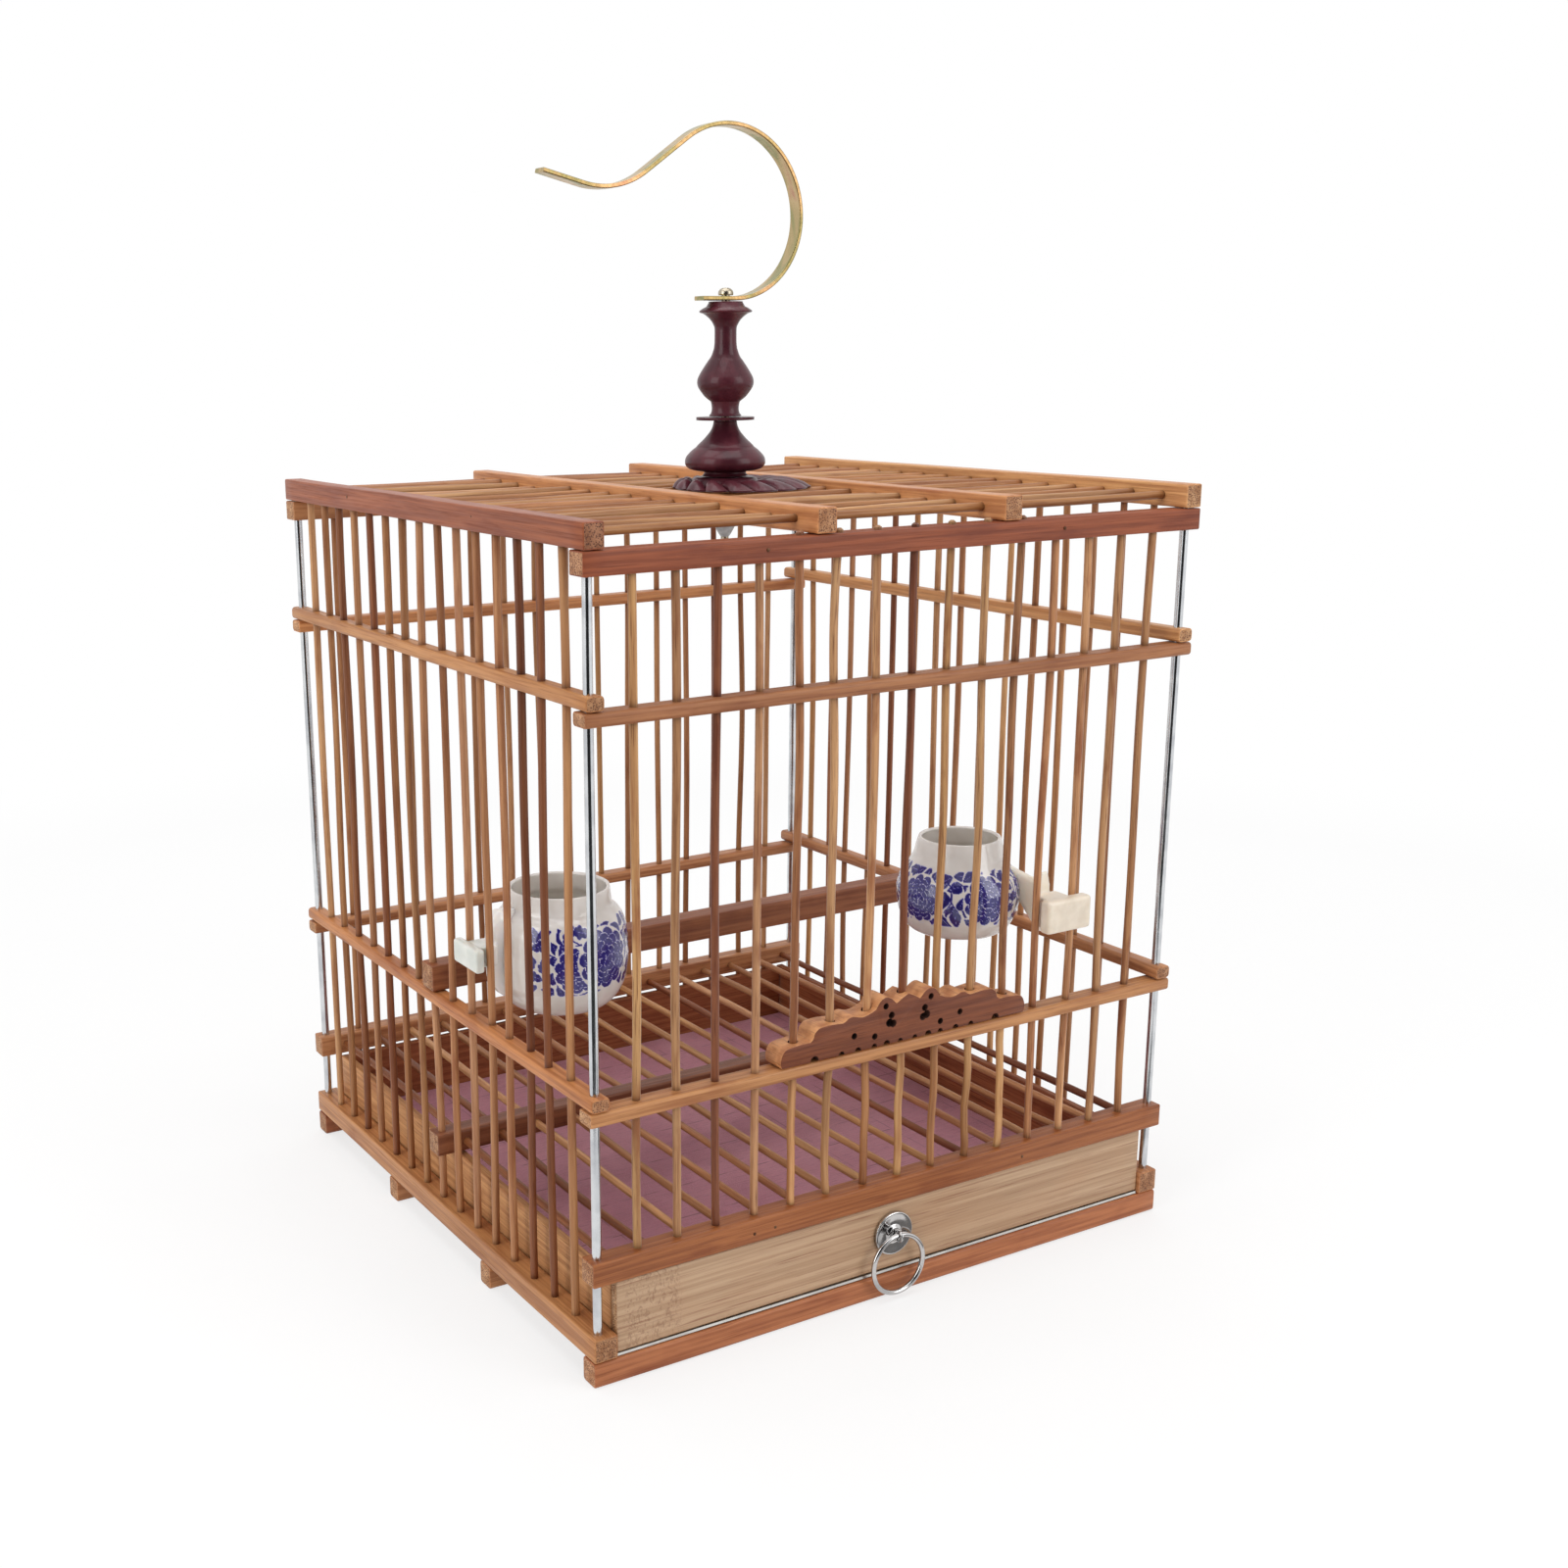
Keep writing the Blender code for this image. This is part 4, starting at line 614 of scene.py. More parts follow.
def add_rail(build, low, high, axis, tint, radius=0.0007, wander=0.00010):
    """A squared rail between two corners, slightly uneven along its length, with sawn ends."""
    low = np.asarray(low, float)
    high = np.asarray(high, float)
    u, v = (np.array(a, float) for a in AXES[axis])
    middle = (low + high) / 2
    half = (high - low) / 2
    half_u = abs(half @ u)
    half_v = abs(half @ v)
    length = 2 * half[axis]
    steps = max(4, round(length / 0.007))
    shares = np.linspace(0, 1, steps + 1)
    near = [0, 0.3 * END_ROUND, END_ROUND]
    stops = np.sort(np.concatenate((near, shares[1:-1] * length, [length - stop for stop in near])))
    from_end = np.minimum(stops, length - stops)
    insets = np.clip(END_ROUND - from_end, 0, END_ROUND)
    insets = END_ROUND - np.sqrt(np.maximum(END_ROUND**2 - insets**2, 0))
    insets = np.where(from_end < 1e-9, END_ROUND, insets)
    wide_u = half_u * (1 + smooth_noise(stops / length, 0.010, 5, False))
    wide_v = half_v * (1 + smooth_noise(stops / length, 0.010, 5, False))
    sections = np.array([
        rounded_section(a, b, radius, inset) for a, b, inset in zip(wide_u, wide_v, insets)])
    centres = middle + np.outer(stops - length / 2, np.eye(3)[axis])
    centres += np.outer(smooth_noise(stops / length, wander, 4), u)
    centres += np.outer(smooth_noise(stops / length, wander, 4), v)
    drift = 1 + smooth_noise(stops / length, 0.035, 6, False)
    build.sweep(centres, sections, u, v, np.outer(drift, tint), stops)


ROD_SIDES = 12
ROD_BEND = 0.0004


def add_rod(build, start, end, tint, supports, radius=ROD_RADIUS, fade=None):
    """A thin split-wood rod: a little bent, a little oval, and darker where it enters a rail, as glue stain
    and painted shade of the gap round the hole.
    """
    start = np.asarray(start, float)
    end = np.asarray(end, float)
    length = np.linalg.norm(end - start)
    ahead = (end - start) / length
    axis = int(np.argmax(np.abs(ahead)))
    u, v = (np.array(a, float) for a in AXES[axis])
    stops = list(np.linspace(0, length, max(6, round(length / 0.006)) + 1))
    for support in supports:
        stops += [support + shift for shift in (-0.0022, -0.0011, -0.0004, 0.0004, 0.0011, 0.0022)]
    stops += [0.0001, 0.0004, length - 0.0004, length - 0.0001]
    stops = np.unique(np.round([s for s in stops if 0 <= s <= length], 6))
    shares = stops / length
    near_end = np.minimum(stops, length - stops)
    caps = np.where(near_end < 0.0005, np.sqrt(np.clip(near_end / 0.0005, 0.25, 1)), 1.0)
    wide_u = radius * caps * (1 + smooth_noise(shares, 0.035, 6, False))
    wide_v = radius * caps * (1 + smooth_noise(shares, 0.035, 6, False))
    angles = np.arange(ROD_SIDES) / ROD_SIDES * 2 * math.pi + DRAWS.uniform(0, 1)
    sections = np.stack([np.outer(wide_u, np.cos(angles)), np.outer(wide_v, np.sin(angles))], axis=2)
    centres = start + np.outer(stops, ahead)
    centres += np.outer(smooth_noise(shares, ROD_BEND, 4), u)
    centres += np.outer(smooth_noise(shares, ROD_BEND, 4), v)
    shade = 1 + smooth_noise(shares, 0.05, 5, False)
    # Painted shade with some glue stain: a dark band where the rod passes into each rail, for the shade in
    # the gap round its hole.
    for support in supports:
        shade *= 1 - 0.45 * np.exp(-(((stops - support) / 0.0010) ** 2))
    colours = np.outer(shade, tint)
    if fade is not None:
        share = 0.5 + smooth_noise(shares, 0.35, 2, False)
        colours = colours * (1 - np.clip(share, 0, 1)[:, None] * (1 - np.asarray(fade)))
    build.sweep(centres, sections, u, v, colours, stops)


def some_rod_tint(kind=None):
    """A rod's own colour: light, middle or dark, each a little off."""
    kind = kind or DRAWS.choice(["l", "m", "d"], p=[0.46, 0.32, 0.22])
    base = {"l": LIGHT_ROD, "m": MIDDLE_ROD, "d": DARK_ROD}[kind]
    bright = DRAWS.uniform(0.88, 1.1)
    return np.array(base) * bright * (1, DRAWS.uniform(0.95, 1.04), DRAWS.uniform(0.92, 1.06))


def through_points(profile, per=6):
    """A smooth line through points. A repeated point is a corner."""
    runs = [[profile[0]]]
    for before, point in zip(profile, profile[1:]):
        if point == before:
            runs.append([point])
        else:
            runs[-1].append(point)
    line = []
    for run in (run for run in runs if len(run) > 1):
        p = np.array([run[0], *run, run[-1]], float)
        for index in range(1, len(p) - 2):
            a, b, c, d = p[index - 1:index + 3]
            for step in range(per):
                t = step / per
                square, cube = 2 * a - 5 * b + 4 * c - d, 3 * b - a - 3 * c + d
                line.append(0.5 * (2 * b + (c - a) * t + square * t**2 + cube * t**3))
        line.append(p[-1])
    return np.array(line)


def lathe(profile, centre, steps, axis=2):
    """Points and faces of a shape turned about an axis through its centre. Its ends are closed if on it."""
    first, second = (np.outer(np.maximum(profile[:, 0], 0), part) for part in circle(1.0, steps).T)
    heights = np.repeat(profile[:, 1:2], steps, 1)
    rings = np.stack((first, -heights, second) if axis == 1 else (first, second, heights), axis=2)
    return rings.reshape(-1, 3) + np.asarray(centre, float), grid_faces(len(profile), steps)


def weld(shape, gap=0.000004, least=0.000002):
    """Join points that meet, and drop faces with no area."""
    bmesh.ops.remove_doubles(shape, verts=shape.verts, dist=gap)
    bmesh.ops.dissolve_degenerate(shape, edges=shape.edges, dist=least)


def turned_shape(profile, centre, steps, axis=2):
    """A turned solid as a bmesh."""
    points, faces = lathe(profile, centre, steps, axis)
    shape = bmesh.new()
    corners = [shape.verts.new(point) for point in points]
    for face in faces:
        shape.faces.new([corners[index] for index in face])
    weld(shape)
    return shape


def turned_piece(node, profile, centre, surface, body, steps, sharp, axis=2, per=6):
    """A turned solid as the piece for a node."""
    name = node + "_look"
    mesh = to_mesh(turned_shape(through_points(profile, per), centre, steps, axis), name)
    return settle(name, mesh, [surface], body, [node], sharp)


# ---------------------------------------------------------------- rails
RAILS = {
    "runner_front": (0, srgb(184, 122, 84), "red_brown_wood"),
    "runner_inner_front": (0, BROWN_RAIL, "red_brown_wood"),
    "runner_inner_back": (0, BROWN_RAIL, "red_brown_wood"),
    "runner_back": (0, RED_RAIL, "red_brown_wood"),
    "base_rail_left": (1, srgb(194, 144, 98), "pale_wood"),
    "base_rail_right": (1, BROWN_RAIL, "pale_wood"),
    "floor_rail_front": (0, srgb(161, 103, 62), "red_brown_wood"),
    "floor_rail_back": (0, BROWN_RAIL, "pale_wood"),
    "upper_ring_front": (0, srgb(170, 120, 84), "pale_wood"),
    "top_rail_front": (0, srgb(146, 80, 50), "red_brown_wood"),
    "top_rail_back": (0, BROWN_RAIL, "pale_wood"),
    "roof_rail_left": (1, srgb(158, 92, 60), "red_brown_wood"),
    "roof_rail_right": (1, TAN_RAIL, "red_brown_wood"),
}
for node, (axis, tint, slot) in RAILS.items():
    build = Build()
    add_rail(build, *span(node), axis, tint, 0.0011 if "ring" in node or "runner" in node else 0.0005)
    build.piece(node, [RAIL, END], "cage")


# ---------------------------------------------------------------- walls
WALL_ROD_RADIUS = 0.00118
THIN_ROD_RADIUS = 0.0011


def wall_rods(build, spots, low, high, rails, kinds, radius=WALL_ROD_RADIUS):
    """Upright rods at (x, y) spots through rails at the given heights. Kinds has a letter for each rod."""
    supports = [edge - low for pair in rails for edge in pair if low < edge < high]
    for (x, y), kind in zip(spots, kinds):
        tint = some_rod_tint(kind)
        fade = (0.72, 0.62, 0.55) if DRAWS.uniform() < 0.45 else None
        add_rod(build, (x, y, low), (x, y, high), tint, supports, radius, fade=fade)


# Bottoms and tops of the lower and upper ring rails
SIDE_RINGS = (0.0824, 0.0865), (0.1920, 0.1961)
LOWER_RING_TOP = heights_of("lower_ring_front")[1]
LOWER_RING_TALL = 0.0040
CROSS_RINGS = (LOWER_RING_TOP - LOWER_RING_TALL, LOWER_RING_TOP), heights_of("upper_ring_front")
ROOF_BOTTOM = heights_of("roof_rail_left")[0]
BASE_TOP = heights_of("base_rail_left")[1]
FLOOR_TOP = heights_of("floor_rail_front")[1]
FLOOR_RAIL_TALL = 0.0073
TOP_RAIL_BOTTOM = heights_of("top_rail_front")[0]
RING_WIDTH = 0.0058
RING_DEPTH = 0.0070
RING_ROUNDING = 0.0012
# A height above every rod's end
OPEN_END = 1.0

for side, node in ((-1, "left_wall_grille"), (1, "right_wall_grille")):
    build = Build()
    faces = sorted((MIDDLE_X + side * HALF_WIDTH, MIDDLE_X + side * (HALF_WIDTH - RING_WIDTH)))
    tints = (BROWN_RAIL, TAN_RAIL) if side > 0 else (srgb(196, 138, 90), srgb(194, 144, 96))
    for (low, high), tint in zip(SIDE_RINGS, tints):
        add_rail(build, (faces[0], FRONT_FACE, low), (faces[1], BACK_FACE, high), 1, tint, RING_ROUNDING)
    spots = [(MIDDLE_X + side * WALL_X, MIDDLE_Y + y) for y in places(PITCH_Y, 15)]
    edges = (*SIDE_RINGS, (ROOF_BOTTOM, OPEN_END), (0.0, BASE_TOP))
    kinds = "mddmmlmlmmdmdml" if side < 0 else "lmlmmllmlmdlmml"
    radius = WALL_ROD_RADIUS if side < 0 else THIN_ROD_RADIUS
    wall_rods(build, spots, BASE_TOP - SEAT_BELOW, ROOF_BOTTOM + SEAT_ABOVE, edges, kinds, radius)
    build.piece(node, [RAIL, END], "cage")

build = Build()
for (low, high), tint in zip(CROSS_RINGS, (BROWN_RAIL, ORANGE_RAIL)):
    add_rail(
        build, (LEFT_FACE, BACK_FACE - RING_DEPTH, low), (RIGHT_FACE, BACK_FACE, high), 0, tint,
        RING_ROUNDING)
spots = [(MIDDLE_X + x, MIDDLE_Y + WALL_Y) for x in places(PITCH_X, 15)]
edges = (
    *CROSS_RINGS, (TOP_RAIL_BOTTOM, OPEN_END), (FLOOR_TOP - FLOOR_RAIL_TALL, FLOOR_TOP),
    (0.0, RUNNER_HIGH[2]))
wall_rods(
    build, spots, RUNNER_HIGH[2] - SEAT_BELOW, TOP_RAIL_BOTTOM + SEAT_ABOVE, edges, "mlmdmlmmlmlmdml",
    THIN_ROD_RADIUS)
build.piece("back_wall_grille", [RAIL, END], "cage", name="back_wall_look")

FRONT_KINDS = "lldlmlldllmmlll"
build = Build()
low, high = CROSS_RINGS[0]
tint = srgb(192, 144, 100)
add_rail(build, (LEFT_FACE, FRONT_FACE, low), (RIGHT_FACE, FRONT_FACE + RING_DEPTH, high), 0, tint, 0.0010)
spots = [(MIDDLE_X + x, FRONT_Y) for x in places(PITCH_X, 7)]
wall_rods(
    build, spots, FLOOR_TOP - SEAT_BELOW, low + SEAT_ABOVE, ((0.0, FLOOR_TOP), (low, OPEN_END)), "llmlmll")
build.piece("lower_ring_front", [RAIL, END], "cage")

# The fixed rods stand beside the door's opening
DOOR_HALF = 0.0457
front = places(PITCH_X, 15)
fixed = [index for index, x in enumerate(front) if abs(x) > DOOR_HALF]
edges = (*CROSS_RINGS, (TOP_RAIL_BOTTOM, OPEN_END), (0.0, FLOOR_TOP))
for number, index in enumerate(fixed, 1):
    build = Build()
    wall_rods(
        build, [(MIDDLE_X + front[index], FRONT_Y)], FLOOR_TOP - SEAT_BELOW, TOP_RAIL_BOTTOM + SEAT_ABOVE,
        edges, FRONT_KINDS[index])
    build.piece(f"front_rod_{number}", [ROD, END], "cage")

# ---------------------------------------------------------------- floor and roof
# The floor's and roof's rods run this far inside their rails
IN_RAIL = 0.0008
build = Build()
low, high = span("floor_grille")
bar_half = 0.0035
add_rail(
    build, (low[0], MIDDLE_Y - bar_half, low[2]), (high[0], MIDDLE_Y + bar_half, high[2]), 0, DARK_RAIL)
level = (low[2] + high[2]) / 2
ends = [FRONT_FACE + 0.0062, BACK_FACE - 0.0062]
length = ends[1] - ends[0]
supports = [IN_RAIL, length / 2 - bar_half, length / 2 + bar_half, length - IN_RAIL]
for x in places(PITCH_X, 16):
    add_rod(
        build, (MIDDLE_X + x, ends[0], level), (MIDDLE_X + x, ends[1], level), some_rod_tint(), supports,
        fade=(0.8, 0.7, 0.62))
build.piece("floor_grille", [RAIL, END], "cage")

build = Build()
roof_low, roof_high = span("roof_grille")
inner = 2.5 * PITCH_X
inner_half = 0.00325
for side in (-1, 1):
    middle = MIDDLE_X + side * inner
    add_rail(
        build, (middle - inner_half, *roof_low[1:]), (middle + inner_half, *roof_high[1:]), 1, ORANGE_RAIL,
        0.0006)
level = (roof_low[2] + roof_high[2]) / 2
ends = [LEFT_FACE + 0.0055, RIGHT_FACE - 0.0055]
length = ends[1] - ends[0]
supports = [IN_RAIL, length - IN_RAIL]
supports += [length / 2 + side * inner + edge for side in (-1, 1) for edge in (-inner_half, inner_half)]
for y in places(PITCH_Y, 16):
    add_rod(
        build, (ends[0], MIDDLE_Y + y, level), (ends[1], MIDDLE_Y + y, level),
        some_rod_tint(DRAWS.choice(["l", "m"], p=[0.6, 0.4])), supports, fade=(0.86, 0.78, 0.7))
build.piece("roof_grille", [RAIL, END], "cage")

# ---------------------------------------------------------------- door
BLOCK_LOW, BLOCK_HIGH = span("door_block")
DOOR_TOP = heights_of("door_rod_1")[1]
TOP_RAIL_TALL = 0.0064
edges = (CROSS_RINGS[1], (TOP_RAIL_BOTTOM, TOP_RAIL_BOTTOM + TOP_RAIL_TALL))
for number, x in enumerate(places(PITCH_X, 7), 1):
    build = Build()
    wall_rods(
        build, [(MIDDLE_X + x, FRONT_Y)], BLOCK_LOW[2] + 0.003, DOOR_TOP, edges, FRONT_KINDS[number + 3])
    build.piece(f"door_rod_{number}", [ROD, END], "door")

BLOCK_HALF = (BLOCK_HIGH[0] - BLOCK_LOW[0]) / 2
BLOCK_HEIGHT = BLOCK_HIGH[2] - BLOCK_LOW[2]
SOCKET_RADIUS = 0.00155
# Half of the carved edge from the middle outwards, as shares of the half width and of the height
EDGE_SHARES = [
    (0.0, 0.98), (0.05, 0.91), (0.085, 0.845), (0.096, 0.83), (0.096, 0.83), (0.110, 0.87), (0.136, 0.945),
    (0.182, 1.0), (0.225, 0.945), (0.248, 0.86), (0.263, 0.79), (0.263, 0.79), (0.306, 0.735), (0.345, 0.705),
    (0.372, 0.70), (0.405, 0.72), (0.438, 0.75), (0.465, 0.745), (0.481, 0.73), (0.481, 0.73), (0.503, 0.685),
    (0.525, 0.665), (0.58, 0.68), (0.635, 0.688), (0.70, 0.67), (0.725, 0.63), (0.744, 0.57), (0.744, 0.57),
    (0.752, 0.48), (0.772, 0.42), (0.772, 0.42), (0.83, 0.425), (0.90, 0.41), (0.952, 0.385), (0.981, 0.32),
    (0.997, 0.20), (1.0, 0.12), (0.995, 0.04), (0.985, 0.0),
]
# Bored holes (x share, height share, radius), and half-round notches in the lower edge (x share, radius)
HOLES = [(0.184, 0.81, 0.0010), (0.433, 0.34, 0.0010), (0.269, 0.235, 0.0010), (0.136, 0.60, 0.0011),
         (0.152, 0.45, 0.0013), (0.122, 0.42, 0.0012)]
NOTCHES = [(0.06, 0.0009), (0.17, 0.0012), (0.27, 0.0010), (0.40, 0.0011), (0.53, 0.0010), (0.74, 0.0015)]


def loose(shape, name):
    """A bmesh as an object that is still to be cut or melted."""
    return placed(name, to_mesh(shape, name))


def cylinder(place, radius, length, sides, turn=0.0):
    """A closed cylinder for cutting. It is upright, or turned about X by degrees."""
    shape = bmesh.new()
    bmesh.ops.create_cone(
        shape, cap_ends=True, segments=sides, radius1=radius, radius2=radius, depth=length,
        matrix=Matrix.Translation(place) @ Matrix.Rotation(math.radians(turn), 4, "X"))
    return loose(shape, "cylinder")


def loft_block(sections):
    """A closed solid through loops of points."""
    shape = bmesh.new()
    loops = [[shape.verts.new(point) for point in section] for section in sections]
    for first, second in zip(loops, loops[1:]):
        for index in range(len(first)):
            after = (index + 1) % len(first)
            shape.faces.new((first[index], first[after], second[after], second[index]))
    shape.faces.new(list(reversed(loops[0])))
    shape.faces.new(loops[-1])
    bmesh.ops.recalc_face_normals(shape, faces=shape.faces)
    return loose(shape, "loft")


def finished(thing, name, tools=()):
    """The mesh of an object with its modifiers applied. The object and its tools are removed."""
    bpy.context.view_layer.update()
    mesh = bpy.data.meshes.new_from_object(thing.evaluated_get(bpy.context.evaluated_depsgraph_get()))
    mesh.name = name
    for old in (thing, *tools):
        bpy.data.objects.remove(old)
    return mesh


def carve(thing, name, tools):
    """The mesh of an object after its tools are cut away from it."""
    for tool in tools:
        modifier = thing.modifiers.new("cut", "BOOLEAN")
        modifier.operation = "DIFFERENCE"
        modifier.object = tool
    return finished(thing, name, tools)


def carved_block():
    """The door's block: its scalloped edge, bored holes, notches, and sockets for the rods."""
    right = through_points(EDGE_SHARES, 3)
    right = right[np.append(True, np.linalg.norm(np.diff(right, axis=0), axis=1) > 0.002)]
    outline = [(MIDDLE_X + x * BLOCK_HALF, BLOCK_LOW[2] + z * BLOCK_HEIGHT) for x, z in right]
    outline = [(2 * MIDDLE_X - x, z) for x, z in outline[:0:-1]] + outline
    soft = 0.0004
    y_low = BLOCK_LOW[1]
    y_high = BLOCK_HIGH[1]
    centre = (MIDDLE_X, BLOCK_LOW[2] + BLOCK_HEIGHT * 0.35)
    # The edge is eased by drawing the outline inwards along its own normals
    flat = np.array(outline)
    ahead = np.roll(flat, -1, 0) - np.roll(flat, 1, 0)
    ahead /= np.linalg.norm(ahead, axis=1)[:, None]
    normal = np.stack([-ahead[:, 1], ahead[:, 0]], axis=1)
    if ((flat + normal * soft - centre) ** 2).sum() > ((flat - centre) ** 2).sum():
        normal = -normal
    block = loft_block([
        [(x, y, z) for x, z in flat + normal * inset]
        for y, inset in (
            (y_low, soft), (y_low + soft * 0.3, soft * 0.3), (y_low + soft, 0), (y_high - soft, 0),
            (y_high - soft * 0.3, soft * 0.3), (y_high, soft))])
    bores = []
    for side in (-1, 1):
        bores += [(side * x * BLOCK_HALF, z * BLOCK_HEIGHT, radius, 20) for x, z, radius in HOLES]
        bores += [(side * x * BLOCK_HALF, 0.0003, radius, 14) for x, radius in NOTCHES]
    middle = (y_low + y_high) / 2
    depth = y_high - y_low + 0.002
    tools = [
        cylinder((MIDDLE_X + x, middle, BLOCK_LOW[2] + z), radius, depth, sides, 90)
        for x, z, radius, sides in bores]
    tools += [
        cylinder((MIDDLE_X + x, FRONT_Y, BLOCK_HIGH[2] - 0.004), SOCKET_RADIUS, 0.014, 18)
        for x in places(PITCH_X, 7)]
    mesh = carve(block, "carved_block", tools)
    corners = np.array([vert.co[:] for vert in mesh.vertices])
    add_wood_layers(mesh, srgb(124, 70, 42), corners[:, [1, 2, 0]])
    kinds = []
    for face in mesh.polygons:
        x, z = face.center.x - MIDDLE_X, face.center.z - BLOCK_LOW[2]
        # Faces on the wall of a bored hole or notch get the painted shade.
        bore_wall = any(abs(math.hypot(x - a, z - b) - radius) < 0.00012 for a, b, radius, _ in bores)
        kinds.append(0 if abs(face.normal.y) > 0.75 else 2 if bore_wall else 1)
    mesh.polygons.foreach_set("material_index", kinds)
    return settle("door_block_look", mesh, [CARVED, SAWN, BORE_SHADE], "door", ["door_block"], 35)


carved_block()

# ---------------------------------------------------------------- perch and tray
# Axis, tint, surface, body, slot, rounding and unevenness of each
BOARDS = {
    "perch": (0, srgb(152, 98, 66), RAIL, "perch", "dark_wood", 0.0006, 0.00010),
    "drawer_front": (0, srgb(214, 180, 142), TRAY_FRONT, "drawer", "pale_wood", 0.0006, 0.00004),
    "drawer_left": (1, srgb(206, 162, 118), BOARD, "drawer", "tray_wood", 0.0005, 0.00004),
    "drawer_right": (1, srgb(170, 112, 78), BOARD, "drawer", "tray_wood", 0.0005, 0.00004),
    "drawer_back": (0, srgb(170, 112, 78), BOARD, "drawer", "tray_wood", 0.0005, 0.00004),
}
for node, (axis, tint, surface, body, slot, radius, wander) in BOARDS.items():
    build = Build()
    add_rail(build, *span(node), axis, tint, radius, wander)
    build.piece(node, [surface, END], body)


def plate(node, surface, below, lift=0.0):
    """A thin sheet with a slightly uneven top, which lies a little below the top of its node."""
    low, high = span(node)
    shape = bmesh.new()
    bmesh.ops.create_grid(shape, x_segments=40, y_segments=40, size=0.5)
    for vert in shape.verts:
        x = low[0] + (vert.co.x + 0.5) * (high[0] - low[0])
        y = low[1] + (vert.co.y + 0.5) * (high[1] - low[1])
        wave = lift * (math.sin(61 * x + 0.7) * math.sin(53 * y + 1.9) + 0.4 * math.sin(170 * x + 90 * y))
        inside = min(x - low[0], high[0] - x, y - low[1], high[1] - y)
        vert.co = (x, y, high[2] - below + wave * min(inside / 0.02, 1))
    made = bmesh.ops.extrude_face_region(shape, geom=shape.faces[:])
    for item in made["geom"]:
        if isinstance(item, bmesh.types.BMVert):
            item.co.z = low[2]
    name = node + "_look"
    return settle(name, to_mesh(shape, name), [surface], "drawer", [node], 40)


plate("drawer_liner", LINER, 0.00012, 0.0001)
plate("drawer_bottom", TIN, 0.0)

# ---------------------------------------------------------------- ring pull
ROSETTE_LOW, ROSETTE_HIGH = span("pull_rosette")
PULL_X = (ROSETTE_LOW[0] + ROSETTE_HIGH[0]) / 2
PULL_Z = (ROSETTE_LOW[2] + ROSETTE_HIGH[2]) / 2
PULL_BACK = ROSETTE_HIGH[1]
turned_piece(
    "pull_rosette",
    [(0.00085, 0.0001), (0.00085, 0.0012), (0.00085, 0.0012), (0.0014, 0.0013), (0.0021, 0.0012),
     (0.0026, 0.0008), (0.0032, 0.0006), (0.0046, 0.0007), (0.0060, 0.00096), (0.0065, 0.00102),
     (0.0068, 0.0009), (0.0069, 0.0006), (0.0069, 0.0), (0.0069, 0.0), (0.003, 0.0), (0.00085, 0.0001)],
    (PULL_X, PULL_BACK, PULL_Z), CHROME, "drawer", 72, 50, 1)


def add_torus(build, place, major, minor, axis, steps, sides):
    """A ring round the X or the Y axis."""
    wire = circle(minor, sides)
    around = circle(1.0, steps)[:, None, :] * (major + wire[None, :, :1])
    across = np.broadcast_to(wire[None, :, 1:], (steps, sides, 1))
    points = np.concatenate((around, across), axis=2)
    points = points[..., [2, 0, 1] if axis == 0 else [0, 2, 1]].reshape(-1, 3) + np.asarray(place)
    build.add(points, grid_faces(steps, sides, True), METAL_TINT, points)


EYE_RADIUS = 0.0015
EYE_WIRE = 0.00045
EYE_Y = span("pull_eye")[0][1] + EYE_RADIUS + EYE_WIRE
build = Build()
add_torus(build, (PULL_X, EYE_Y, PULL_Z), EYE_RADIUS, EYE_WIRE, 0, 40, 14)
centres = np.array([(PULL_X, EYE_Y + EYE_RADIUS + s, PULL_Z) for s in (-0.0002, 0.001, 0.004, 0.0064)])
shank = np.repeat(circle(0.0006, 14)[None], 4, 0)
build.sweep(centres, shank, (1, 0, 0), (0, 0, 1), METAL_TINT, [0, 1, 2, 3], 0)
build.piece("pull_eye", [CHROME], "drawer", 60)

RING_LOW, RING_HIGH = span("pull_ring")
build = Build()
ring_middle = (RING_LOW + RING_HIGH) / 2 - (0, 0, 0.0001)
add_torus(build, ring_middle, 0.00935, 0.0008, 1, 96, 16)
build.piece("pull_ring", [CHROME], "pull_ring", 60)

# ---------------------------------------------------------------- corner rods
for name in ("front_left", "front_right", "back_left", "back_right"):
    node = "corner_rod_" + name
    low, high = span(node)
    build = Build()
    middle = (low + high) / 2
    levels = np.linspace(low[2], high[2], 60)
    centres = np.array([(middle[0], middle[1], z) for z in levels])
    centres[:, 0] += smooth_noise(60, 0.00008, 3)
    centres[:, 1] += smooth_noise(60, 0.00008, 3)
    sections = np.repeat(circle(CORNER_ROD_RADIUS, 24)[None], 60, 0)
    build.sweep(centres, sections, (1, 0, 0), (0, 1, 0), METAL_TINT, levels, 0)
    build.piece(node, [STEEL], "cage", 50)

# ---------------------------------------------------------------- finial
PETAL_LOW, PETAL_HIGH = span("petal_plate")
BASE_LOW, BASE_HIGH = span("finial_base")
FINIAL_X = (BASE_LOW[0] + BASE_HIGH[0]) / 2
FINIAL_Y = (BASE_LOW[1] + BASE_HIGH[1]) / 2
FINIAL_PLACE = (FINIAL_X, FINIAL_Y, 0)
BORE = 0.0016


def height_profile(node, shares, radius):
    """Profile points from shares of a radius and of a node's height, closed along the bore."""
    low, high = heights_of(node)
    points = [(r * radius, low + z * (high - low)) for r, z in shares]
    return [(BORE, high), (BORE, high), *points, (BORE, low), (BORE, low)]


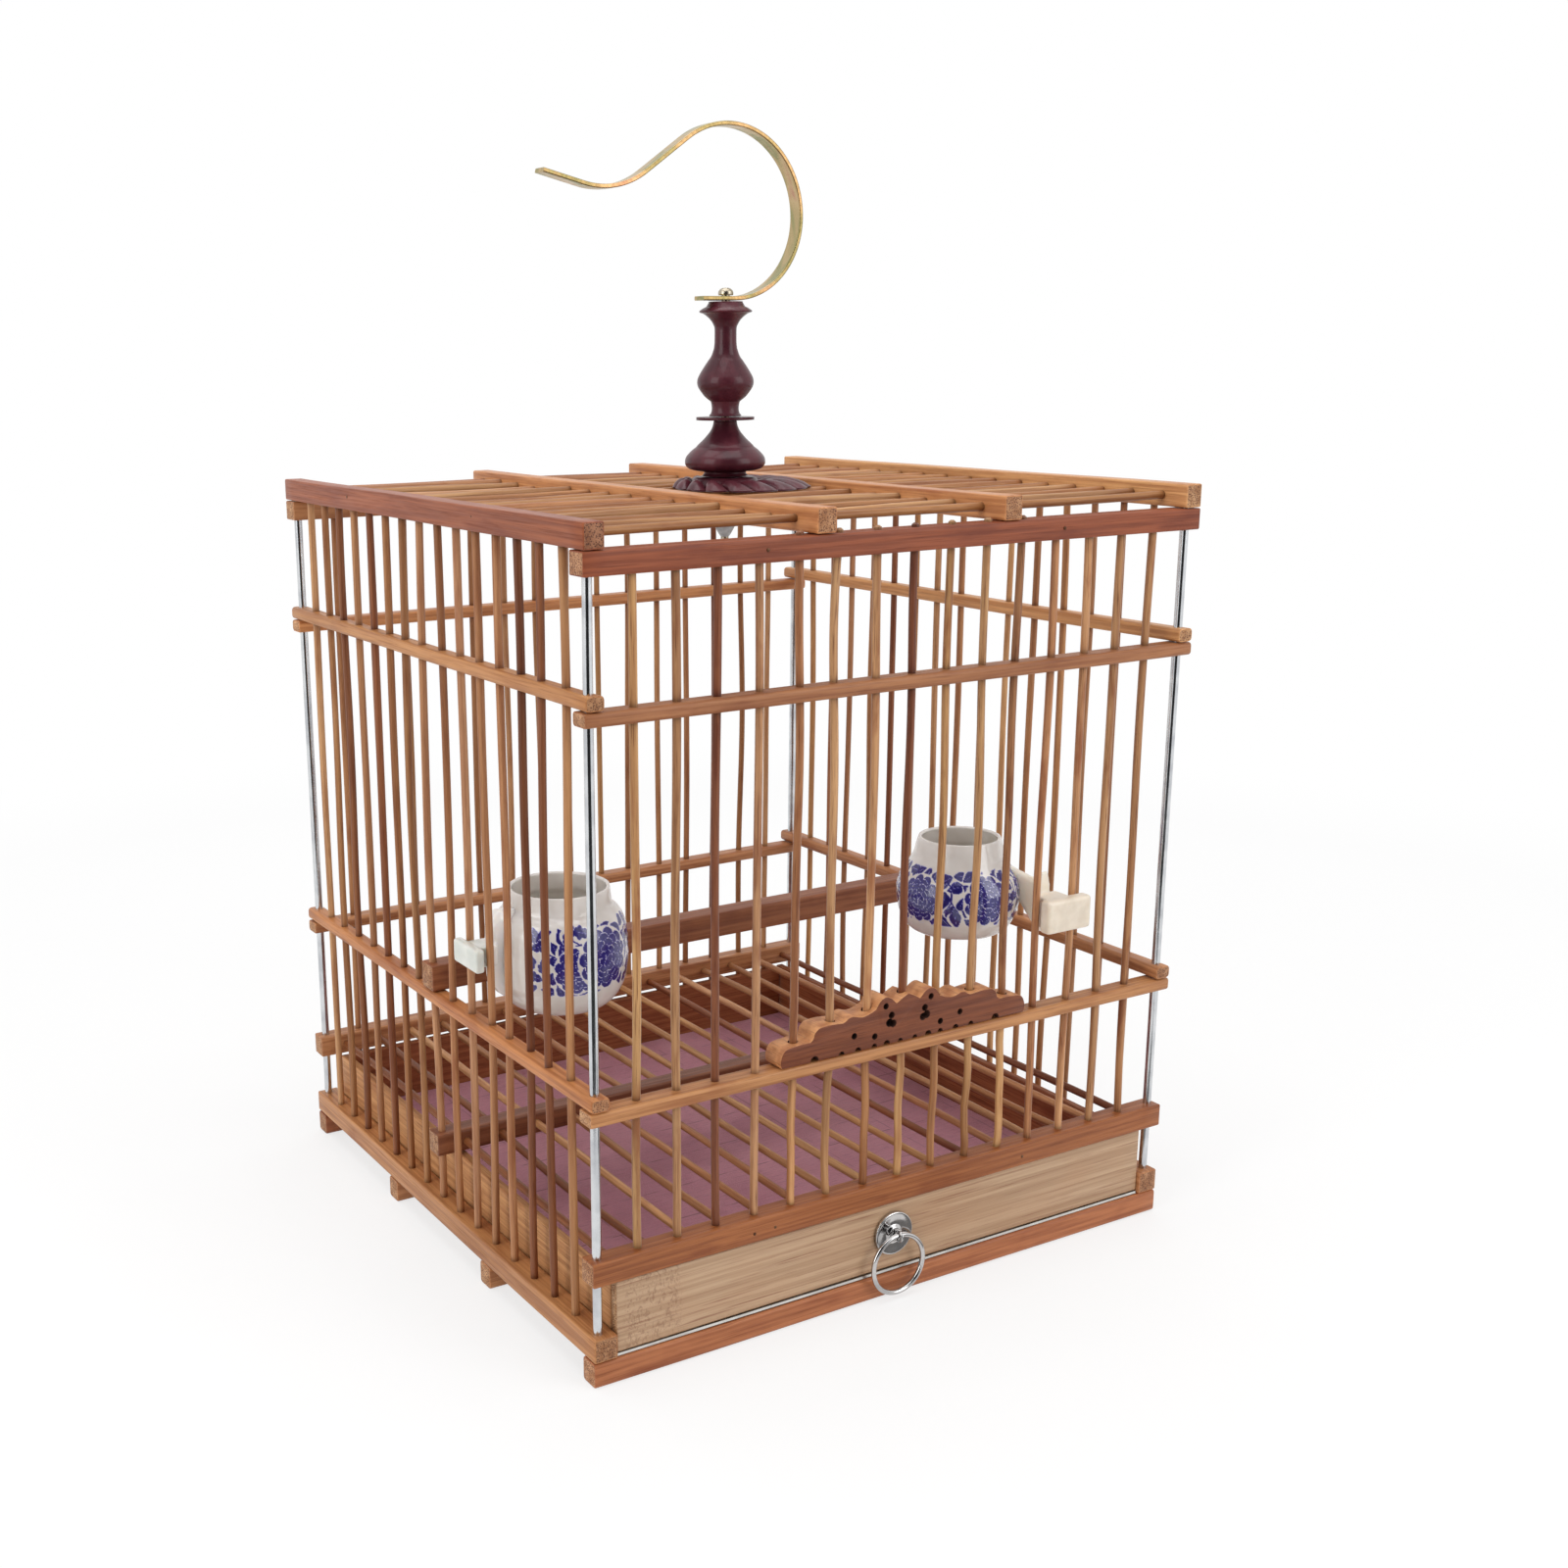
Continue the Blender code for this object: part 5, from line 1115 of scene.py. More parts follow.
BASE_SHARES = [
    (0.27, 1.0), (0.29, 0.985), (0.30, 0.94), (0.325, 0.88), (0.375, 0.81), (0.455, 0.735), (0.54, 0.665),
    (0.64, 0.595), (0.70, 0.55), (0.70, 0.55), (0.72, 0.53), (0.80, 0.485), (0.83, 0.465), (0.83, 0.465),
    (0.90, 0.415), (0.975, 0.345), (1.0, 0.27), (0.985, 0.20), (0.91, 0.14), (0.76, 0.105), (0.66, 0.095),
    (0.66, 0.095), (0.54, 0.085), (0.52, 0.06), (0.54, 0.03), (0.545, 0.0),
]
STEM_SHARES = [
    (0.57, 1.0), (0.60, 0.99), (0.66, 0.965), (0.69, 0.955), (0.69, 0.955), (0.78, 0.945), (0.90, 0.925),
    (0.93, 0.915), (0.90, 0.905), (0.90, 0.905), (0.78, 0.895), (0.62, 0.865), (0.51, 0.835), (0.43, 0.80),
    (0.39, 0.77), (0.385, 0.70), (0.39, 0.64), (0.41, 0.595), (0.41, 0.595), (0.50, 0.53), (0.62, 0.485),
    (0.71, 0.452), (0.80, 0.417), (0.89, 0.38), (0.97, 0.34), (1.0, 0.305), (0.985, 0.27), (0.93, 0.24),
    (0.82, 0.20), (0.72, 0.17), (0.60, 0.145), (0.52, 0.13), (0.52, 0.13), (0.49, 0.10), (0.48, 0.06),
    (0.51, 0.025), (0.56, 0.0),
]
DISC_SHARES = [(0.94, 1.0), (0.985, 0.85), (1.0, 0.5), (0.985, 0.15), (0.94, 0.0)]
for node, shares, radius, per in (
        ("finial_base", BASE_SHARES, 0.0129, 5), ("finial_stem", STEM_SHARES, 0.0090, 5),
        ("finial_disc", DISC_SHARES, 0.0093, 4)):
    turned_piece(
        node, height_profile(node, shares, radius), FINIAL_PLACE, LACQUER, "cage", 72, 46,
        per=per)


def petal_plate():
    """Sixteen rounded petals with deep grooves between them. The raised hub lies off their middle."""
    petals, per = 16, 16
    steps = petals * per
    low = PETAL_LOW[2]
    reach = (PETAL_HIGH[0] - PETAL_LOW[0]) / 2
    shift = (PETAL_LOW[:2] + PETAL_HIGH[:2]) / 2 - (FINIAL_X, FINIAL_Y)
    rows = []
    for step in range(steps):
        angle = 2 * math.pi * step / steps
        share = abs(math.sin(petals * angle / 2))
        lobe = share ** 0.5
        rim = reach - 0.0020 * (1 - lobe) ** 1.2
        row = [(BORE, 0, 0.0034), (0.0094, 0, 0.0034), (0.0099, 0, 0.00325), (0.0103, 0, 0.0029),
               (0.0108, 0, 0.0019)]
        for index in range(9):
            along = index / 8
            swell = math.sin(math.pi * min(along * 0.88 + 0.12, 1.0)) ** 0.7
            row.append((0.0112 + (rim - 0.0112) * along, along, 0.0004 + 0.0028 * lobe * swell))
        row += [(rim + 0.0001 * lobe, 1, 0.0005), (rim - 0.0002, 1, 0.0001), (rim - 0.0006, 1, 0),
                (0.012, 0.1, 0), (BORE, 0, 0)]
        rows.append([
            (r * math.cos(angle) + shift[0] * k, r * math.sin(angle) + shift[1] * k, low + z)
            for r, k, z in row])
    points = np.array(rows).reshape(-1, 3) + FINIAL_PLACE
    mesh = mesh_of("petal_plate_look", points, grid_faces(steps, len(rows[0]), True))
    return settle("petal_plate_look", mesh, [LACQUER], "cage", ["petal_plate"], 50)


petal_plate()

WASHER_SHARES = [(0.97, 1.0), (1.0, 0.8), (1.0, 0.2), (0.97, 0.0)]
turned_piece(
    "roof_washer", height_profile("roof_washer", WASHER_SHARES, 0.009), FINIAL_PLACE, STEEL, "cage",
    48, 40, per=3)
nut_low, nut_high = heights_of("cone_nut")
nut_tall = nut_high - nut_low
turned_piece(
    "cone_nut",
    [(0.0016, nut_high), (0.0052, nut_high), (0.0055, nut_high - 0.0003), (0.0055, nut_high - 0.0014),
     (0.0055, nut_high - 0.0014), (0.0050, nut_high - 0.0026), (0.0042, nut_low + 0.52 * nut_tall),
     (0.0032, nut_low + 0.31 * nut_tall), (0.0018, nut_low + 0.09 * nut_tall),
     (0.0009, nut_low + 0.015 * nut_tall), (0.0, nut_low)],
    FINIAL_PLACE, PLASTIC, "cage", 48, 40, per=4)


def bolt():
    """Pan head with a cross recess, on its shank."""
    low, high = heights_of("centre_bolt")
    head = high - 0.0023
    profile = through_points([
        (0.0, high), (0.0009, high - 0.00008), (0.0017, high - 0.0004), (0.0023, high - 0.0011),
        (0.0024, high - 0.0019), (0.0023, head), (0.0023, head), (0.0013, head), (0.0013, head),
        (0.0013, low + 0.0004), (0.0011, low), (0.0, low)], 4)
    shape = turned_shape(profile, FINIAL_PLACE, 36)
    bmesh.ops.recalc_face_normals(shape, faces=shape.faces)
    tools = []
    for long, wide in ((0.0030, 0.0006), (0.0006, 0.0030)):
        cutter = bmesh.new()
        bmesh.ops.create_cube(cutter, size=1.0)
        bmesh.ops.scale(cutter, vec=(long, wide, 0.0022), verts=cutter.verts)
        bmesh.ops.translate(cutter, vec=(FINIAL_X, FINIAL_Y, high), verts=cutter.verts)
        tools.append(loose(cutter, "recess"))
    mesh = carve(loose(shape, "bolt"), "centre_bolt_look", tools)
    return settle("centre_bolt_look", mesh, [BRASSED], "cage", ["centre_bolt"], 35)


bolt()

# ---------------------------------------------------------------- hook
HOOK_FOOT_BACK = 0.0099
HOOK_FOOT_FRONT = 0.0022
HOOK_WIDTH = 0.0055
HOOK_THICKNESS = 0.0013
# Length and turn in degrees of each part of the strip, from its foot
HOOK_BENDS = [
    (HOOK_FOOT_BACK + HOOK_FOOT_FRONT, 0.0), (0.0247 * math.radians(90), 90.0),
    (0.0270 * math.radians(124.6), 124.6), (0.018, 0.0), (0.0270 * math.radians(48), -48.0), (0.014, 0.0)]


def hook():
    """A flat strip bent in one plane."""
    foot = heights_of("hook")[0]
    place = np.array([-HOOK_FOOT_BACK, HOOK_THICKNESS / 2])
    heading = 0.0
    line = [(place, heading)]
    for length, turn in HOOK_BENDS:
        steps = max(2, round(abs(turn) / 3.0))
        for _ in range(steps):
            heading += math.radians(turn) / steps / 2
            place = place + np.array((math.cos(heading), math.sin(heading))) * (length / steps)
            heading += math.radians(turn) / steps / 2
            line.append((place, heading))
    section = rounded_section(HOOK_WIDTH / 2, HOOK_THICKNESS / 2, 0.0003)
    points = [
        (FINIAL_X + x - math.sin(heading) * b, FINIAL_Y + a, foot + z + math.cos(heading) * b)
        for (x, z), heading in line for a, b in section]
    mesh = mesh_of("hook_look", points, tube_faces(len(line), len(section)))
    return settle("hook_look", mesh, [ZINC], "hook", ["hook"], 40)


hook()


# ---------------------------------------------------------------- cups
def smoothstep(value, low, high):
    t = np.clip((value - low) / (high - low), 0, 1)
    return t * t * (3 - 2 * t)


def bloom(u, v, radius, turn):
    """Ink of one round flower: rings of dark petals with thin white outlines."""
    distance = np.hypot(u, v)
    angle = np.arctan2(v, u) + turn
    ink = np.zeros_like(u)
    line = max(radius * 0.018, 0.00012)
    for layer, (share, petals) in enumerate([(1.0, 11), (0.83, 10), (0.65, 8), (0.47, 7), (0.29, 5)]):
        wave = np.abs(np.cos(petals * angle / 2 + layer * 1.7))
        edge = radius * share * (0.80 + 0.20 * wave ** 0.5)
        rim = smoothstep(edge - distance, line * 0.7, line * 1.7)
        split = smoothstep(wave * distance / petals, line * 0.12, line * 0.4)
        tone = 0.98 - 0.15 * smoothstep(edge - distance, 0, radius * 0.2)
        ink = np.where(distance < edge, tone * rim * split, ink)
    return ink


def leaf(u, v, length, width, turn, lobes=1):
    """Ink of a pointed leaf with a thin pale midrib, from its stalk outwards."""
    c, s = math.cos(turn), math.sin(turn)
    x = (u * c + v * s) / length
    y = (-u * s + v * c) / width
    shape = np.where((x > 0) & (x < 1), np.sin(math.pi * np.clip(x, 0, 1) ** 0.62) ** 0.85, 0)
    if lobes > 1:
        shape = shape * (0.66 + 0.34 * np.abs(np.cos(lobes * math.pi * x)))
    body = smoothstep(shape - np.abs(y), 0.0, 0.10)
    rib = 1 - 0.7 * (smoothstep(0.07 - np.abs(y), 0.0, 0.05) * smoothstep(x, 0.1, 0.3) * (x < 0.8))
    return body * rib * np.where(np.abs(y) < 2, 1, 0)


def stroke(u, v, points, width):
    """Ink of a painted line through points."""
    line = through_points(points)
    best = np.full_like(u, 1e9)
    for a, b in zip(line, line[1:]):
        ab = b - a
        t = np.clip(((u - a[0]) * ab[0] + (v - a[1]) * ab[1]) / max(ab @ ab, 1e-12), 0, 1)
        best = np.minimum(best, np.hypot(u - a[0] - t * ab[0], v - a[1] - t * ab[1]))
    return smoothstep(width - best, 0, width * 0.6) * 0.95


VINE = [(0.8, 0.5), (1.35, 0.75), (1.5, 0.1), (1.2, -0.4)]


def flowers(u, v, radius, band, arc, blooms, seed):
    """Ink of leaves, vines and flowers, over u round the cup and v up its side.

    A bloom is (degrees, height, radius). The ink covers a band of heights, and an arc to each side of +X.
    """
    draws = np.random.default_rng(seed)
    low, high = band
    girth = 2 * math.pi * radius
    ink = np.zeros_like(u)

    def wrapped(at):
        return (u - at + girth / 2) % girth - girth / 2

    half = math.radians(arc) * radius
    columns = round(2 * half / 0.0043)
    for column in range(columns + 1):
        for row in range(5):
            x = -half + 2 * half * (column + (row % 2) / 2) / (columns + 0.5)
            x += draws.uniform(-0.0009, 0.0009)
            y = low + (high - low) * (row + 0.5) / 5 + draws.uniform(-0.0008, 0.0008)
            turn = draws.uniform(0, 2 * math.pi)
            length = draws.uniform(0.0044, 0.0062)
            away = (-math.cos(turn) * length / 2, -math.sin(turn) * length / 2)
            du, dv = wrapped(x + away[0]), v - y - away[1]
            width = length * draws.uniform(0.30, 0.38)
            new = leaf(du, dv, length, width, turn, int(draws.choice([1, 1, 3])))
            halo = leaf(du, dv, length * 1.1, length * 0.52, turn)
            ink = np.where(new > 0.05, new, ink * (1 - np.clip(halo * 1.5, 0, 1)))
    for at, height, size in blooms:
        x = math.radians(at) * radius
        for side in (-1, 1):
            vine = [(side * size * a, size * b) for a, b in VINE]
            line = stroke(wrapped(x), v - height, vine, 0.00026)
            ink = np.where(line > 0.05, line, ink)
    for at, height, size in blooms:
        du, dv = wrapped(math.radians(at) * radius), v - height
        flower = bloom(du, dv, size, math.radians(at))
        clear = smoothstep(size * 1.05 - np.hypot(du, dv), 0, size * 0.03)
        ink = np.where(flower > 0.02, flower, ink * (1 - clear))
    fade = smoothstep(v, low - 0.0006, low + 0.0002) * smoothstep(high + 0.0006 - v, 0, 0.0008)
    ends = smoothstep(half + 0.0008 - np.abs(wrapped(0)), 0, 0.0008) if arc < 180 else 1
    return np.clip(ink * fade * ends, 0, 1)


def china_cup(node, centre, bottom, height, radius, outer, band, arc, blooms, seed):
    """A turned china bowl with a thin rounded lip, painted round its belly."""
    line = through_points([(r * radius, bottom + z * height) for r, z in outer], 10)
    # Points are laid evenly along the outside, so that the painting is as fine everywhere
    seg = np.linalg.norm(np.diff(line, axis=0), axis=1)
    at = np.concatenate(([0], np.cumsum(seg)))
    even = np.linspace(0, at[-1], round(at[-1] / 0.00030))
    outside = np.stack([np.interp(even, at, line[:, k]) for k in range(2)], axis=1)
    top = bottom + height
    lip = outside[0][0]
    inner = [(lip - 0.0002, top), (lip - 0.0005, top + 0.0001), (lip - 0.0009, top - 0.0001),
             (lip - 0.0011, top - 0.0005)]
    for r, z in outer[1:]:
        deep = (1 - z) * height
        wall = 0.0011 + 0.0007 * min(deep / 0.012, 1)
        if z * height > wall * 1.35:
            inner.append((r * radius - wall, bottom + z * height))
    inner += [(radius * 0.55, bottom + 0.0019), (0.0, bottom + 0.0018)]
    inner_line = through_points(inner, 5)
    ring = outer[-1][0] * radius
    foot = through_points([
        tuple(outside[-1]), (ring - 0.0006, bottom), (ring - 0.0016, bottom),
        (ring - 0.0022, bottom + 0.0006), (0.0, bottom + 0.0007)], 3)
    profile = np.concatenate([inner_line[::-1], outside, foot[1:]])
    steps = 400
    points, faces = lathe(profile, (*centre, 0), steps)
    ink = np.zeros((len(profile), steps))
    rows = np.arange(len(outside)) + len(inner_line)
    angles = (np.arange(steps) / steps * 2 * math.pi + math.pi) % (2 * math.pi) - math.pi
    u = np.repeat(angles[None] * radius, len(rows), 0)
    v = np.repeat(profile[rows, 1:2] - bottom, steps, 1)
    ink[rows] = flowers(u, v, radius, band, arc, blooms, seed)
    mesh = mesh_of(node + "_bowl", points, faces)
    add_layer(mesh, "ink", "FLOAT", "value", ink)
    shape = bmesh.new()
    shape.from_mesh(mesh)
    weld(shape, 0.000006, 0.000004)
    shape.to_mesh(mesh)
    shape.free()
    return settle(node + "_bowl", mesh, [CHINA], node, [node], 60)


def soft_block(low, high, rounding):
    """A rounded box as a loose object."""
    shape = bmesh.new()
    bmesh.ops.create_cube(shape, size=1.0)
    low = np.asarray(low, float)
    high = np.asarray(high, float)
    bmesh.ops.scale(shape, vec=high - low, verts=shape.verts)
    bmesh.ops.translate(shape, vec=(low + high) / 2, verts=shape.verts)
    bmesh.ops.bevel(shape, geom=shape.edges[:], offset=rounding, segments=4, profile=0.5, affect="EDGES")
    return loose(shape, "block")


EAR_VOXEL = 0.00035


def ear(body, surface, blocks, arm):
    """The cast ear and arm of a cup, melted together into one soft form."""
    parts = [soft_block(low, high, rounding) for low, high, rounding in blocks]
    parts.append(loft_block(arm))
    shape = bmesh.new()
    for part in parts:
        shape.from_mesh(part.data)
        bpy.data.objects.remove(part)
    melted = loose(shape, "melted")
    remesh = melted.modifiers.new("melt", "REMESH")
    remesh.mode = "VOXEL"
    remesh.voxel_size = EAR_VOXEL
    smooth = melted.modifiers.new("soften", "SMOOTH")
    smooth.factor = 0.5
    smooth.iterations = 5
    name = body + "_ear"
    return settle(name, finished(melted, name), [surface], body, [], 0)


# The cups' outsides from the rim down, as shares of the radius and of the height
FOOD_OUTER = [
    (0.74, 1.0), (0.75, 0.96), (0.768, 0.873), (0.80, 0.842), (0.884, 0.797), (0.954, 0.72), (0.99, 0.62),
    (1.0, 0.50), (1.0, 0.416), (0.967, 0.264), (0.90, 0.165), (0.80, 0.085), (0.67, 0.03), (0.52, 0.0)]
WATER_OUTER = [
    (0.66, 1.0), (0.68, 0.96), (0.70, 0.915), (0.74, 0.81), (0.84, 0.70), (0.94, 0.60), (0.99, 0.50),
    (1.0, 0.42), (0.99, 0.33), (0.955, 0.22), (0.90, 0.13), (0.80, 0.04), (0.70, 0.0)]
food_low, food_high = span("food_cup")
FOOD_TALL = food_high[2] - food_low[2]
FOOD_RADIUS = (food_high[1] - food_low[1]) / 2
FOOD_CENTRE = np.array((food_high[0] - FOOD_RADIUS, (food_low[1] + food_high[1]) / 2))
china_cup(
    "food_cup", FOOD_CENTRE, food_low[2], FOOD_TALL, FOOD_RADIUS, FOOD_OUTER, (0.0096, 0.0304), 142,
    [(-103, 0.0172, 0.0074), (103, 0.0172, 0.0074), (-77, 0.0196, 0.0095), (77, 0.0196, 0.0095),
     (24, 0.0178, 0.0074), (0, 0.0196, 0.0092)], 11)
water_low, water_high = span("water_cup")
WATER_TALL = water_high[2] - water_low[2]
WATER_RADIUS = 0.0193
WATER_CENTRE = np.array((water_low[0] + WATER_RADIUS, water_high[1] - WATER_RADIUS))
china_cup(
    "water_cup", WATER_CENTRE, water_low[2], WATER_TALL, WATER_RADIUS, WATER_OUTER, (0.0058, 0.0222), 180,
    [(-169, 0.0132, 0.0074), (-102, 0.0136, 0.0078), (-31, 0.0132, 0.0072), (41, 0.0136, 0.0076),
     (113, 0.0132, 0.0074)], 12)


def arm_section(place, across, half, low, high):
    """A flat upright section as a loop. Its place is fixed, or a function of the height."""
    loop = []
    for side in (1, -1):
        for z in np.linspace(low, high, 11)[::side]:
            x, y = place(z) if callable(place) else place
            a = side * half * (0.6 if min(z - low, high - z) < 1e-9 else 1.0)
            loop.append((x + across[0] * a, y + across[1] * a, z))
    return loop


def cup_side(centre, towards, outer, radius, bottom, tall, depth=0.0011):
    """Places just under a cup's outside, by height."""
    heights = [bottom + z * tall for r, z in outer[::-1]]
    reaches = [r * radius - depth for r, z in outer[::-1]]
    return lambda z: np.array(centre) + np.array(towards) * np.interp(z, heights, reaches)


# An ear's plate lies outside the rods, and its neck passes between two of them. The arm widens only inside
# the ring rails, so that the cup can slide past them.
PLATE_NEAR = ROD_RADIUS + 0.0004
NECK_CLEARANCE = 0.0006
FOOD_EAR_SHIFT = 0.03175
food_y = MIDDLE_Y - FOOD_EAR_SHIFT
neck = PITCH_Y / 2 - ROD_RADIUS - NECK_CLEARANCE
neck_low, neck_high = 0.1038, 0.1101
side = cup_side(FOOD_CENTRE, (-1, 0), FOOD_OUTER, FOOD_RADIUS, food_low[2], FOOD_TALL)
ear(
    "food_cup", FOOD_EAR,
    [((LEFT_X - PLATE_NEAR - 0.0030, food_y - 0.008, 0.1033),
      (LEFT_X - PLATE_NEAR, food_y + 0.008, 0.1106), 0.0008),
     ((LEFT_X - PLATE_NEAR - 0.0012, food_y - neck, neck_low),
      (LEFT_X + 0.0045, food_y + neck, neck_high), 0.0004)],
    [arm_section((LEFT_X - 0.0010, food_y), (0, 1), 0.0028, neck_low, neck_high),
     arm_section((LEFT_X + 0.0033, food_y), (0, 1), 0.0029, neck_low, neck_high),
     arm_section((LEFT_X + 0.0036, food_y), (0, 1), 0.0029, 0.0972, 0.1170),
     arm_section((LEFT_X + 0.0062, food_y), (0, 1), 0.0029, 0.0935, 0.1196),
     arm_section(side, (0, 1), 0.0029, food_low[2] + 0.10 * FOOD_TALL, food_low[2] + 0.88 * FOOD_TALL)])
water_x = MIDDLE_X + 4.5 * PITCH_X
neck = PITCH_X / 2 - ROD_RADIUS - NECK_CLEARANCE
# The water cup's arm is turned, and meets the cup's side there
turn = math.radians(-42)
towards = np.array([math.cos(turn), math.sin(turn)])
side = cup_side(WATER_CENTRE, towards, WATER_OUTER, WATER_RADIUS, water_low[2], WATER_TALL)
start = np.array([water_x, FRONT_Y + 0.0043])
half_way = start * 0.5 + (WATER_CENTRE + towards * WATER_RADIUS) * 0.5
ear(
    "water_cup", WATER_EAR,
    [((water_x - 0.00745, FRONT_Y - PLATE_NEAR - 0.0044, 0.1065),
      (water_x + 0.01005, FRONT_Y - PLATE_NEAR, 0.1170), 0.0011),
     ((water_x - neck, FRONT_Y - PLATE_NEAR - 0.002, 0.1069),
      (water_x + neck, FRONT_Y + 0.0048, 0.1166), 0.0004)],
    [arm_section((water_x, FRONT_Y - 0.0015), (-1, 0), 0.0020, 0.1070, 0.1165),
     arm_section((water_x, FRONT_Y + 0.0040), (-1, 0), 0.0020, 0.1070, 0.1165),
     arm_section(start, (-1, 0), 0.0020, 0.1039, 0.1236),
     arm_section(half_way, (-towards[1], towards[0]), 0.0019, 0.1066, 0.1206),
     arm_section(side, (-towards[1], towards[0]), 0.0021, water_low[2] + 0.38 * WATER_TALL,
                 water_low[2] + 0.72 * WATER_TALL)])

# ---------------------------------------------------------------- pins
PINS = [
    ("pin_roof_left_1", (-1, 0, 0), (LEFT_FACE, 0.0510, 0.2372)),
    ("pin_roof_left_2", (-1, 0, 0), (LEFT_FACE, -0.0397, 0.2372)),
    ("pin_top_front_1", (0, -1, 0), (-0.0509, FRONT_FACE, 0.2298)),
    ("pin_top_front_2", (0, -1, 0), (0.0534, FRONT_FACE, 0.2297)),
    ("pin_floor_front_1", (0, -1, 0), (-0.0461, FRONT_FACE, 0.0340)),
    ("pin_floor_front_2", (0, -1, 0), (-0.0533, FRONT_FACE, 0.0337)),
    ("pin_floor_front_3", (0, -1, 0), (0.0484, FRONT_FACE, 0.0337)),
]
for name, outwards, place in PINS:
    shape = bmesh.new()
    bmesh.ops.create_uvsphere(shape, u_segments=14, v_segments=8, radius=0.00055)
    squeeze = [0.35 if abs(part) > 0.5 else 1.0 for part in outwards]
    bmesh.ops.scale(shape, vec=squeeze, verts=shape.verts)
    bmesh.ops.translate(shape, vec=place, verts=shape.verts)
    settle(name, to_mesh(shape, name), [NAIL], "cage", [], 0)


# ---------------------------------------------------------------- floor, light and camera
def make_floor():
    """Pale floor that takes the shadow, and turns plain white away from the cage."""
    bpy.ops.mesh.primitive_plane_add(size=12.0, location=(0, 0, -0.0002))
    floor = bpy.context.object
    floor.name = "floor"
    s = Surface("pale_floor", Roughness=0.9, Base_Color=(0.94, 0.94, 0.94, 1.0), Specular_IOR_Level=0.1)
    glow = s.node("Emission", 0, {"Color": WHITE, "Strength": 1.0})
    away = s.between(s.node("VectorMath", "Value", {0: s.place()}, operation="LENGTH"), 0.28, 0.75)
    share = s.calc("MULTIPLY", s.seen_directly(), s.calc("MAXIMUM", away, 0.7))
    blend = s.node("MixShader", 0, {0: share, 1: s.shader.outputs[0], 2: glow})
    s.feed(s.tree.nodes["Material Output"].inputs["Surface"], blend)
    floor.data.materials.append(s.material)
    floor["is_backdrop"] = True


def make_world():
    """White to the eye and in reflections, and a plain grey sky as a light."""
    world = bpy.data.worlds.new("studio")
    bpy.context.scene.world = world
    world.use_nodes = True
    sky = Nodes(world.node_tree)
    plain = sky.node("Background", 0, {"Color": WHITE, "Strength": 0.5})
    white = sky.node("Background", 0, {"Color": WHITE, "Strength": 1.0})
    blend = sky.node("MixShader", 0, {0: sky.seen_directly(), 1: plain, 2: white})
    sky.feed(sky.tree.nodes["World Output"].inputs["Surface"], blend)


def softbox(name, place, size, power):
    """An area lamp that faces the cage."""
    lamp = bpy.data.lights.new(name, "AREA")
    lamp.shape = "RECTANGLE"
    lamp.size, lamp.size_y = size
    lamp.energy = power
    thing = placed(name, lamp)
    thing.location = place
    aim = Vector((0, 0, 0.13)) - Vector(place)
    thing.rotation_euler = aim.to_track_quat("-Z", "Y").to_euler()


